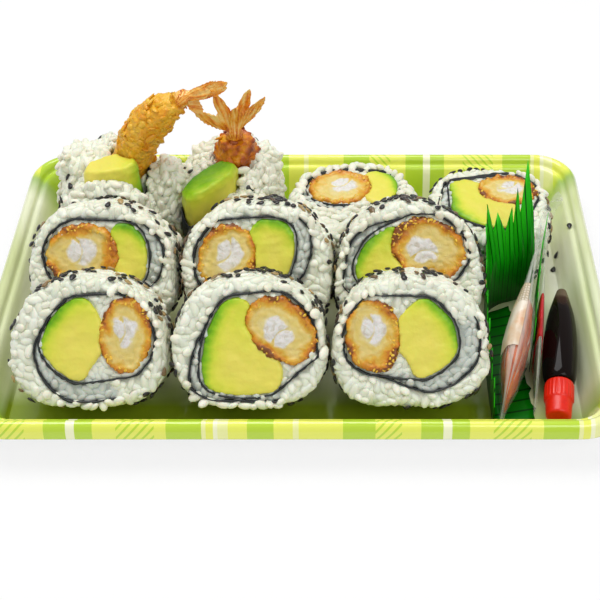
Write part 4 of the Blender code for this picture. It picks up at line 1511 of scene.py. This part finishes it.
def grass_point(index, share):
    """A point of the divider's column, from its foot at 0 over its knee to its top at 1."""
    (foot_x, foot_y), (top_x, top_y, top_z) = GRASS[index]
    knee = min(KNEE, 0.62 * top_z)
    part = knee / top_z
    low_point = Vector((foot_x, foot_y, 1.5))
    knee_point = Vector((foot_x + (top_x - foot_x) * part * 0.25, foot_y + 1.2 * knee / KNEE, knee))
    top_point = Vector((top_x, top_y, top_z))
    if share < part:
        return low_point.lerp(knee_point, share / part)
    return knee_point.lerp(top_point, (share - part) / (1 - part))


points, veins, rises = [], [], []
columns = (len(GRASS) - 1) * BETWEEN + 1
for column in range(columns):
    index, between = divmod(column, BETWEEN)
    index, mix = (index, between / BETWEEN) if index < len(GRASS) - 1 else (index - 1, 1.0)
    for level in range(LEVELS + 1):
        share = level / LEVELS
        edge_mix = 1 - (1 - mix) ** 1.35 if index % 2 else mix ** 1.35  # the blades' edges curve in
        points.append(grass_point(index, share).lerp(grass_point(index + 1, share), edge_mix) * MM)
        veins.append(column / BETWEEN * 1.5)
        rises.append(share)
divider = mesh_piece("grass_sheet", points, grid_faces(columns, LEVELS + 1), grass)
paint(divider.data, "vein", veins)
paint(divider.data, "rise", rises)
thicken(divider, 0.3)
hand_over(divider, "grass_film", "grass_divider")

# %% [markdown]
# The divider's foot is folded flat. It runs over the floor under the ginger, as a dark green tongue whose
# dark is painted shade.
# It could be bent out of the divider itself, but most of the fold is out of sight, so it is a strip
# of its own, with a slow wave that keeps it from looking like paper.

# %% Folded foot of the divider
FOOT_ROWS, FOOT_STEPS = 25, 7
points, veins = [], []
for row in range(FOOT_ROWS):
    share = row / (FOOT_ROWS - 1)
    near_x, near_y = 65.6 + 2.8 * max(0.0, share - 0.85) / 0.15, -59.0 + 54.6 * share
    far_x = 79.5 - 3.5 * share + (1.2 if row % 4 == 2 else 0.0)  # every fourth row is a short tooth
    for step in range(FOOT_STEPS):
        across = step / (FOOT_STEPS - 1)
        near, far = Vector((near_x, near_y, 1.22)), Vector((far_x, near_y + 3.5, 1.2))
        wave = Vector((0, 0, 0.12 * math.sin(share * 9 + across * 4)))
        points.append((near.lerp(far, across) + wave) * MM)
        veins.append(row * 0.5)
foot = mesh_piece("grass_foot", points, grid_faces(FOOT_ROWS, FOOT_STEPS), grass)
paint(foot.data, "vein", veins)
# A low share of the height gives the foot the dark end of the green: painted shade under the ginger.
paint(foot.data, "rise", [0.12] * len(points))
thicken(foot, 0.15)
hand_over(foot, "grass_film")

# %% [markdown]
# One more leaf of the same film was tucked between the two sachets. It shows green through their
# clear upper halves. Only its saw of tips and its colour can be seen, so columns of points that go
# straight up from one line are enough.

# %% Tucked leaf
LEAF_LINE = (  # x, y and top of each column
    (79.6, -36.0, 17), (80.2, -32.0, 25), (80.8, -28.0, 22), (81.4, -24.0, 29), (82.0, -20.0, 26),
    (82.6, -16.0, 34), (83.2, -12.0, 30), (83.8, -8.0, 38), (84.6, -3.5, 35), (86.2, 1.5, 43),
)
LEAF_LEVELS, LEAF_FOOT = 9, 3.0
points, veins, rises = [], [], []
for index, (x, y, top) in enumerate(LEAF_LINE):
    for level in range(LEAF_LEVELS):
        share = level / (LEAF_LEVELS - 1)
        points.append(Vector((x, y, LEAF_FOOT + (top - LEAF_FOOT) * share)) * MM)
        veins.append(index * 0.75)
        rises.append(share)
leaf = mesh_piece("grass_leaf", points, grid_faces(len(LEAF_LINE), LEAF_LEVELS), grass)
paint(leaf.data, "vein", veins)
paint(leaf.data, "rise", rises)
thicken(leaf, 0.15)
hand_over(leaf, "grass_film")

# %% [markdown]
# ## Sachets
#
# Ginger and wasabi come in pillow packs: clear plastic film, sealed flat at both ends, with the food
# loose inside. What the eye gets is not the film but its creases, thin white streaks that run from
# the seals, where the film catches the light. So the film is a mostly clear skin whose streaks are
# painted highlights, white and more opaque, and the ginger, the blank label, the red band and the
# paste are pieces of their own under it. All of them lie on one surface, found from how far along
# the pack a point is and its turn round the pack.

# %% Pack surface
# Stations are the share of the way along, and the bottom, the top and half the thickness there.
GINGER = dict(
    start=(67.6, -59.5), end=(83.2, -4.0),
    stations=((0.00, 1.6, 5.0, 0.5), (0.08, 1.5, 12, 0.9), (0.22, 1.5, 21, 3.6), (0.40, 1.5, 26, 5.0),
              (0.58, 1.5, 29, 4.4), (0.75, 1.8, 33, 2.4), (0.90, 2.4, 38, 0.9), (1.00, 3.5, 42, 0.5)),
)
WASABI = dict(
    start=(79.4, -54.0), end=(85.4, -4.0),
    stations=((0.00, 1.6, 4.0, 0.4), (0.15, 1.5, 13, 0.9), (0.40, 1.5, 22, 1.3), (0.70, 1.8, 30, 1.0),
              (0.90, 2.2, 36, 0.5), (1.00, 3.0, 38, 0.4)),
)


def pack_point(pack, share, turn, grow=0.0):
    """A point of a pack's skin, in millimetres; turn 0 is its top edge and grow moves it outwards."""
    start, end = Vector((*pack["start"], 0)), Vector((*pack["end"], 0))
    along = end - start
    side = Vector((-along.y, along.x, 0)).normalized()
    stations = np.array(pack["stations"])
    low, high, half = (np.interp(share, stations[:, 0], stations[:, column]) for column in (1, 2, 3))
    swell = math.copysign(abs(math.sin(turn)) ** 0.8, math.sin(turn))
    across, up = swell * (half + grow), ((high - low) / 2 + grow) * math.cos(turn)
    return start + along * share + side * across + Vector((0, 0, (low + high) / 2 + up))


def pack_piece(name, pack, shares, turns, grow, look, crease, seed, closed):
    """A patch, or with closed a whole tube, of a pack's surface, with creases that run along it."""
    points, along, round_it = [], [], []
    for share in shares:
        for turn in turns:
            fold = noise.noise(Vector((share * 5 + seed, math.sin(turn) * 2.4 + turn * 0.7, seed)))
            fine = noise.noise(Vector((share * 11, turn * 5 + share * 6, seed + 9)))
            size = grow + crease * (fold + 0.6 * fine)
            points.append(pack_point(pack, share, turn, size) * MM)
            along.append(share)
            round_it.append(turn)
    count = len(turns)
    faces = grid_faces(len(shares), count, join_columns=closed)
    if closed:
        faces += [tuple(range(count))[::-1], tuple(range((len(shares) - 1) * count, len(shares) * count))]
    piece = mesh_piece(name, points, faces, look)
    paint(piece.data, "along", along)
    paint(piece.data, "round_it", round_it)
    return outward(piece) if closed else piece


# %% [markdown]
# Polypropylene film is cast clear and glossy. A refracting skin would hide what is under it, so this
# one is a thin coat with low opacity. Its streaks come from noise over the two surface numbers, and
# they only change how opaque its white is: they are painted highlights of the creases.

# %% Clear film material
clear_film, tree = new_material("Clear polypropylene film")
along = add(tree, "ShaderNodeAttribute", attribute_name="along")
round_it = add(tree, "ShaderNodeAttribute", attribute_name="round_it")
stretched = add(tree, "ShaderNodeMath", {0: along.outputs["Fac"], 1: 5.0}, operation="MULTIPLY")
narrow = add(tree, "ShaderNodeMath", {0: round_it.outputs["Fac"], 1: 5.0}, operation="MULTIPLY")
surface = add(tree, "ShaderNodeCombineXYZ", {"X": stretched.outputs[0], "Y": narrow.outputs[0]})
crease_noise = add(
    tree, "ShaderNodeTexNoise",
    {"Vector": surface.outputs["Vector"], "Scale": 1.0, "Detail": 4.0, "Roughness": 0.6, "Distortion": 1.2},
)
# Painted highlights: the crease streaks are whiter and more opaque.
opaque = add(
    tree, "ShaderNodeMapRange",
    {
        "Value": crease_noise.outputs["Fac"], "From Min": 0.52, "From Max": 0.76,
        "To Min": 0.13, "To Max": 0.55,
    },
)
# The folded top edge, where the turn is 0, is white as well: a painted highlight along the fold.
towards_top = add(tree, "ShaderNodeMath", {0: round_it.outputs["Fac"]}, operation="COSINE")
fold_edge = add(
    tree, "ShaderNodeMapRange",
    {"Value": towards_top.outputs[0], "From Min": 0.86, "From Max": 0.98, "To Min": 0.0, "To Max": 0.45},
)
alpha = add(
    tree, "ShaderNodeMath", {0: opaque.outputs["Result"], 1: fold_edge.outputs["Result"]}, operation="MAXIMUM"
)
bump = add(
    tree, "ShaderNodeBump",
    {"Height": crease_noise.outputs["Fac"], "Strength": 0.7, "Distance": 0.001},
)
shader = add(
    tree, "ShaderNodeBsdfPrincipled",
    {
        "Base Color": "#eef1e6", "Roughness": 0.12, "Alpha": alpha.outputs[0],
        "Normal": bump.outputs["Normal"],
    },
)
close_material(tree, shader)

# %% [markdown]
# Pickled ginger is shaved thin and lies in folds, wet with vinegar. Noise stretched along the folds
# makes the orange and brown layers, and a low roughness makes them look wet.

# %% Ginger material
FOLDS = (scale_for(2.63), scale_for(11.11), scale_for(5.88))
pickle, tree = new_material("Pickled ginger slices")
place = add(tree, "ShaderNodeTexCoord")
leaves = add(tree, "ShaderNodeMapping", {"Vector": place.outputs["Object"], "Scale": FOLDS})
folds = add(
    tree, "ShaderNodeTexNoise",
    {"Vector": leaves.outputs["Vector"], "Scale": 1.0, "Detail": 4.0, "Distortion": 1.0},
)
colour = add(
    tree, "ShaderNodeValToRGB", {"Fac": folds.outputs["Fac"]},
    stops=((0.28, "#7e2404"), (0.42, "#b84004"), (0.56, "#d45404"), (0.7, "#dc6c10"), (0.85, "#d98a3a")),
)
bump = add(tree, "ShaderNodeBump", {"Height": folds.outputs["Fac"], "Strength": 0.8, "Distance": 0.001})
shader = add(
    tree, "ShaderNodeBsdfPrincipled",
    {
        "Base Color": colour.outputs["Color"], "Roughness": 0.22, "Subsurface Weight": 0.15,
        "Subsurface Scale": 0.002, "Normal": bump.outputs["Normal"],
    },
)
close_material(tree, shader)

# %% [markdown]
# The label is white ink printed on the film, a little see-through, so the ginger warms it. Its upper
# part is crimped by the sealing tool into a fine grid, made here by two sine waves. The eye gets a
# pale strip that is worn and pressed.

# %% Label material
label_paper, tree = new_material("White ink printed on film")
along = add(tree, "ShaderNodeAttribute", attribute_name="along")
round_it = add(tree, "ShaderNodeAttribute", attribute_name="round_it")
rows = add(tree, "ShaderNodeMath", {0: along.outputs["Fac"], 1: 420.0}, operation="MULTIPLY")
lines = add(tree, "ShaderNodeMath", {0: round_it.outputs["Fac"], 1: 34.0}, operation="MULTIPLY")
row_wave = add(tree, "ShaderNodeMath", {0: rows.outputs[0]}, operation="SINE")
line_wave = add(tree, "ShaderNodeMath", {0: lines.outputs[0]}, operation="SINE")
grid = add(tree, "ShaderNodeMath", {0: row_wave.outputs[0], 1: line_wave.outputs[0]}, operation="MAXIMUM")
raised = add(tree, "ShaderNodeMapRange", {"Value": grid.outputs[0], "From Min": 0.3, "From Max": 0.9})
crimped = add(
    tree, "ShaderNodeMapRange",
    {"Value": along.outputs["Fac"], "From Min": 0.57, "From Max": 0.575},
)
pressed = add(
    tree, "ShaderNodeMath", {0: raised.outputs["Result"], 1: crimped.outputs["Result"]}, operation="MULTIPLY"
)
wear = add(tree, "ShaderNodeTexCoord")
stain = add(
    tree, "ShaderNodeTexNoise",
    {"Vector": wear.outputs["Object"], "Scale": scale_for(6.67), "Detail": 3.0},
)
base = add(
    tree, "ShaderNodeValToRGB", {"Fac": stain.outputs["Fac"]},
    stops=((0.3, "#dda074"), (0.45, "#e6c8a6"), (0.6, "#efe4d2")),
)
tinted = add(
    tree, "ShaderNodeMix", {"Factor": pressed.outputs[0], "A": base.outputs["Color"], "B": "#b9a888"},
    data_type="RGBA",
)
bump = add(tree, "ShaderNodeBump", {"Height": pressed.outputs[0], "Strength": 0.6, "Distance": 0.0003})
shader = add(
    tree, "ShaderNodeBsdfPrincipled",
    {
        "Base Color": tinted.outputs["Result"], "Roughness": 0.25, "Alpha": 0.86,
        "Normal": bump.outputs["Normal"],
    },
)
close_material(tree, shader)

# %% [markdown]
# The wasabi pack has a plain band of red ink. Noise makes its red uneven, as thin ink on soft film
# is, and it gives the eye one strong stripe between the greens.

# %% Red ink material
red_ink, tree = new_material("Red ink printed on film")
place = add(tree, "ShaderNodeTexCoord")
uneven = add(
    tree, "ShaderNodeTexNoise",
    {"Vector": place.outputs["Object"], "Scale": scale_for(3.33), "Detail": 3.0},
)
colour = add(
    tree, "ShaderNodeValToRGB", {"Fac": uneven.outputs["Fac"]}, stops=((0.35, "#a8121a"), (0.65, "#c8202a"))
)
shader = add(tree, "ShaderNodeBsdfPrincipled", {"Base Color": colour.outputs["Color"], "Roughness": 0.2})
close_material(tree, shader)

# %% [markdown]
# Wasabi is a stiff, ground paste. Small lumps in its colour and its surface make it look dense, and
# it gives the eye a dull green under the film.

# %% Wasabi material
paste, tree = new_material("Wasabi paste")
place = add(tree, "ShaderNodeTexCoord")
lumps = add(
    tree, "ShaderNodeTexNoise",
    {"Vector": place.outputs["Object"], "Scale": scale_for(2), "Detail": 4.0},
)
colour = add(
    tree, "ShaderNodeValToRGB", {"Fac": lumps.outputs["Fac"]},
    stops=((0.3, "#173c1a"), (0.55, "#2c5f27"), (0.75, "#557f38")),
)
bump = add(tree, "ShaderNodeBump", {"Height": lumps.outputs["Fac"], "Strength": 0.5, "Distance": 0.0005})
shader = add(
    tree, "ShaderNodeBsdfPrincipled",
    {"Base Color": colour.outputs["Color"], "Roughness": 0.35, "Normal": bump.outputs["Normal"]},
)
close_material(tree, shader)

# %% [markdown]
# Each pack is built in layers on the same surface, from the film inwards and outwards. A table says
# how much of the pack's length and turn each layer takes, and how far it lies from the film.

# %% Sachets
FULL_TURN = [math.tau * step / 40 for step in range(40)]
LABEL_TURN = [math.radians(angle) for angle in range(-8, 74, 6)]
LAYERS = (  # name, pack, (start, end, rows), turns, grow, material, crease, seed, CAD nodes
    ("ginger_film", GINGER, (0.0, 1.0, 61), FULL_TURN, 0.0, clear_film, 0.35, 1.0, ["ginger_sachet"]),
    ("pickled_ginger", GINGER, (0.10, 0.60, 36), FULL_TURN, -0.75, pickle, 0.55, 4.0, []),
    ("ginger_label", GINGER, (0.30, 0.68, 30), LABEL_TURN, 0.25, label_paper, 0.2, 1.0, []),
    ("wasabi_film", WASABI, (0.0, 1.0, 51), FULL_TURN, 0.0, clear_film, 0.2, 7.0, ["wasabi_sachet"]),
    ("wasabi_red_band", WASABI, (0.36, 0.62, 20), FULL_TURN, 0.12, red_ink, 0.1, 7.0, []),
    ("wasabi_paste", WASABI, (0.14, 0.355, 18), FULL_TURN, -0.3, paste, 0.15, 3.0, []),
)
for name, pack, stretch, turns, grow, look, crease, seed, nodes in LAYERS:
    layer = pack_piece(name, pack, np.linspace(*stretch), turns, grow, look, crease, seed,
                       closed=turns is FULL_TURN)
    hand_over(layer, "clear_film", *nodes)

# %% [markdown]
# The ginger pack's back seal is a flat flap of film. It leans back over the right-hand slice, and
# most of it is white with creases, which are the film's painted highlights. Cloth simulation could
# crumple it, but it is small, so a curled grid of points is made smooth by subdivision and gets its
# thickness last.

# %% Sealed flap
FLAP = (  # x, y, bottom and top of each column
    (83.0, -6.0, 22.0, 41.5), (84.2, -1.0, 24.5, 43.0), (85.6, 4.5, 27.5, 44.0), (87.4, 10.0, 29.0, 44.5),
    (90.0, 15.0, 29.0, 42.0), (93.0, 19.0, 27.5, 38.0),
)
FLAP_LEVELS = 11
points, along, round_it = [], [], []
for index, (x, y, low, high) in enumerate(FLAP):
    for level in range(FLAP_LEVELS):
        share = level / (FLAP_LEVELS - 1)
        curl = 1.6 * math.sin(share * 5 + index * 0.9) * (0.4 + 0.6 * share)
        points.append(Vector((x + curl, y - 0.3 * curl, low + (high - low) * share)) * MM)
        along.append(1 + index * 0.09)  # the creases go on from those of the pack
        round_it.append(0.6 + share)
flap = mesh_piece("ginger_flap", points, grid_faces(len(FLAP), FLAP_LEVELS), clear_film)
paint(flap.data, "along", along)
paint(flap.data, "round_it", round_it)
smoothed = flap.modifiers.new("smooth", "SUBSURF")
smoothed.levels = smoothed.render_levels = 2
thicken(flap, 0.1)
hand_over(flap, "clear_film")

# %% [markdown]
# ## Soy sauce bottle
#
# The bottle is blow-moulded polyethylene, full of sauce, so it looks almost black with a sharp, wet
# highlight. Its empty tip lets light through, and a ramp up its height makes it paler here. The cap
# is moulded in red, and its upper half has fine ribs for the fingers. Both are turned shapes: a
# profile goes round an axis, and the ribs are a small wave added to the radius.

# %% Bottle material
soy, tree = new_material("Blow-moulded bottle of soy sauce")
tip = add(tree, "ShaderNodeAttribute", attribute_name="height")
place = add(tree, "ShaderNodeTexCoord")
swirl = add(
    tree, "ShaderNodeTexNoise",
    {"Vector": place.outputs["Object"], "Scale": scale_for(6.25), "Detail": 3.0},
)
uneven = add(
    tree, "ShaderNodeMath",
    {0: swirl.outputs["Fac"], 1: 0.16, 2: tip.outputs["Fac"]},
    operation="MULTIPLY_ADD",
)
colour = add(
    tree, "ShaderNodeValToRGB", {"Fac": uneven.outputs[0]},
    stops=((0.2, "#0e0706"), (0.9, "#130a08"), (0.96, "#3c2415"), (1.0, "#6b5a46")),
)
shader = add(
    tree, "ShaderNodeBsdfPrincipled",
    {"Base Color": colour.outputs["Color"], "Roughness": 0.06, "Specular IOR Level": 0.14},
)
close_material(tree, shader)

# %% [markdown]
# The cap is injection moulded, with a faint grain from the mould. A little subsurface scattering
# gives the eye the soft edge that red polyethylene has.

# %% Cap material
cap_red, tree = new_material("Moulded red polyethylene")
place = add(tree, "ShaderNodeTexCoord")
grainy = add(
    tree, "ShaderNodeTexNoise",
    {"Vector": place.outputs["Object"], "Scale": scale_for(1.43), "Detail": 3.0},
)
colour = add(
    tree, "ShaderNodeValToRGB", {"Fac": grainy.outputs["Fac"]}, stops=((0.3, "#d81600"), (0.7, "#e62204"))
)
bump = add(tree, "ShaderNodeBump", {"Height": grainy.outputs["Fac"], "Strength": 0.12, "Distance": 0.0002})
shader = add(
    tree, "ShaderNodeBsdfPrincipled",
    {
        "Base Color": colour.outputs["Color"], "Roughness": 0.33, "Subsurface Weight": 0.1,
        "Subsurface Scale": 0.001, "Normal": bump.outputs["Normal"],
    },
)
close_material(tree, shader)

# %% Turned shapes
BOTTLE_FOOT = Vector((86.2, -60.0, 6.35))
BOTTLE_TIP = Vector((93.0, -9.3, 11.6))
bottle_turn = (BOTTLE_TIP - BOTTLE_FOOT).to_track_quat("Z", "Y")


def turned(name, profile, look, around=64, ribs=0, rib_height=0.0, rib_range=(0.0, 0.0)):
    """A profile of (radius, height) points turned round the bottle's axis, with ribs in a range."""
    points, heights = [], []
    top = max(height for _, height in profile)
    for radius, height in profile:
        ribbed = rib_range[0] <= height <= rib_range[1]
        for step in range(around):
            turn = math.tau * step / around
            far = radius + (rib_height * max(0.0, math.cos(turn * ribs)) if ribbed else 0.0)
            place = Vector((far * math.cos(turn), far * math.sin(turn), height))
            points.append((BOTTLE_FOOT + bottle_turn @ place) * MM)
            heights.append(height / top)
    count = len(profile)
    faces = grid_faces(count, around, join_columns=True)
    faces += [tuple(range(around)), tuple(range((count - 1) * around, count * around))]
    piece = mesh_piece(name, points, faces, look)
    paint(piece.data, "height", heights)
    return outward(piece)


# %% [markdown]
# The bottle's profile is drawn with a few points from its tip to its neck, and a smooth curve goes
# through them. The cap's corners are tight, so its points are used as they are. Faces across the
# axis are flat shaded, and the rest are smooth, which keeps the cap's rim crisp.

# %% Bottle and cap
BODY_LINE = [(0.3, 56.2), (1.3, 56.05), (1.75, 55.6), (2.05, 54.6), (3.0, 51.0), (4.6, 44.0), (5.6, 36.0),
             (6.0, 29.0), (6.0, 23.0), (5.6, 17.5), (4.9, 14.9), (3.6, 14.2), (0.3, 14.2)]
smooth_body = [(max(point.x, 0.2), point.y) for point in smooth_line([(r, h, 0) for r, h in BODY_LINE], 4)]
bottle = turned("soy_bottle_body", smooth_body, soy)
hand_over(bottle, "soy_in_bottle", "soy_bottle")
CAP_LINE = [(0.3, 13.8), (4.3, 13.8), (4.75, 13.6), (4.8, 13.2), (4.8, 12.9), (4.8, 7.0), (4.8, 6.7),
            (4.7, 6.5), (4.5, 6.2), (4.45, 5.8), (4.2, 1.0), (4.1, 0.5), (3.7, 0.15), (3.3, 0.0), (0.3, 0.0)]
cap = turned("bottle_cap_ribbed", CAP_LINE, cap_red, around=144, ribs=24, rib_height=0.22,
             rib_range=(6.9, 13.0))
axis = bottle_turn @ Vector((0, 0, 1))
for part in cap.data.polygons:
    part.use_smooth = abs(part.normal.dot(axis)) < 0.8
hand_over(cap, "red_cap", "bottle_cap")

# %% [markdown]
# ## Fallen seeds
#
# A few sesame seeds always fall on the tray. There are too few to scatter, so each is a copy of the
# seed shape, put where a ray from above meets the tray and laid flat on what it meets.

# %% Fallen seeds
bpy.context.view_layer.update()
pick = random.Random(610)
FALLEN = ((94.9, 19.2), (96.6, 24.5), (100.8, 29.6), (-58, -60.5), (-20, -61.0), (14, -60.8), (44, 57.5))
points, faces = [], []
for x, y in FALLEN:
    _, place, normal, _ = tray.ray_cast(Vector((x, y, 60)) * MM, Vector((0, 0, -1)))
    facing = normal.to_track_quat("Z", "Y").to_matrix() @ Matrix.Rotation(pick.uniform(0, math.tau), 3, "Z")
    first = len(points)
    points += [place + normal * 0.4 * MM + facing @ vertex.co for vertex in seed_shape.data.vertices]
    faces += [tuple(first + index for index in part.vertices) for part in seed_shape.data.polygons]
fallen = mesh_piece("fallen_sesame", points, faces, sesame_shell)
paint(fallen.data, "tint", [0.3] * len(points))
hand_over(fallen, "rice")

# %% [markdown]
# ## Stage, light and camera
#
# The food stands on a plain white table. Two broad, soft lamps and a white room light it, as a shop's
# bright ceiling would, so shadows are faint and the wet surfaces get wide highlights. The floor
# looks white to the camera, but it still takes the tray's shadow.

# %% Table
floor_look, tree = new_material("White table")
path = add(tree, "ShaderNodeLightPath")
plain = add(tree, "ShaderNodeBsdfDiffuse", {"Color": "#f2f2f2"})
bright = add(tree, "ShaderNodeEmission", {"Color": "#ffffff", "Strength": 1.0})
seen = add(tree, "ShaderNodeMath", {0: path.outputs["Is Camera Ray"], 1: 0.75}, operation="MULTIPLY")
mixed = add(tree, "ShaderNodeMixShader", {0: seen.outputs[0], 1: plain.outputs[0], 2: bright.outputs[0]})
close_material(tree, mixed)
floor = mesh_piece(
    "table", [(-3, -3, 0), (3, -3, 0), (3, 6, 0), (-3, 6, 0)], [(0, 1, 2, 3)], floor_look, smooth=False
)

# %% [markdown]
# The white room lights the food evenly. The camera sees it at full white, while it lights things at
# half strength, so that the lamps still shape them.

# %% White room
world = bpy.data.worlds.new("White room")
bpy.context.scene.world = world
world.use_nodes = True
tree = world.node_tree
tree.nodes.clear()
path = add(tree, "ShaderNodeLightPath")
strength = add(
    tree, "ShaderNodeMapRange",
    {"Value": path.outputs["Is Camera Ray"], "To Min": 0.5, "To Max": 1.0},
)
sky = add(tree, "ShaderNodeBackground", {"Color": "#ffffff", "Strength": strength.outputs["Result"]})
add(tree, "ShaderNodeOutputWorld", {"Surface": sky.outputs[0]})


# %% [markdown]
# A broad lamp gives soft edges to shadows and wide highlights. One hangs behind the tray, as a
# ceiling light does, and a weaker one in front on the right fills the shadows.

# %% Lamps
FOOD = (0, 0, 0.02)  # what the lamps are aimed at


def lamp(name, place, size, power):
    """A white area lamp that faces the food."""
    light = bpy.data.lights.new(name, "AREA")
    light.shape = "RECTANGLE"
    light.size, light.size_y = size
    light.energy = power
    made = bpy.data.objects.new(name, light)
    made.location = place
    made.rotation_euler = (Vector(FOOD) - Vector(place)).to_track_quat("-Z", "Y").to_euler()
    link(made)
    print(f"{name}: {power} W")


lamp("ceiling_lamp", (-0.15, 0.25, 0.9), (0.7, 0.5), 5.6)
lamp("window_lamp", (0.35, -0.55, 0.7), (0.5, 0.4), 2.0)

# %% [markdown]
# The camera stands in front and looks down at 43 degrees, as a person does who is about to eat. It
# points along the tray, and the lens is shifted sideways instead of turned, so the tray's lines keep
# their directions.

# %% Camera
camera_facts = bpy.data.cameras.new("camera")
camera = link(bpy.data.objects.new("camera", camera_facts))
camera.location = (0.0168, -0.3278, 0.3080)
camera.rotation_euler = (math.radians(90 - 42.9), 0, 0)
camera_facts.sensor_width = 36
camera_facts.lens = 73.7
camera_facts.shift_x = -0.077
camera_facts.clip_start = 0.01
bpy.context.scene.camera = camera
bpy.context.scene.view_settings.view_transform = "Standard"
print("camera lens:", camera_facts.lens, "mm")
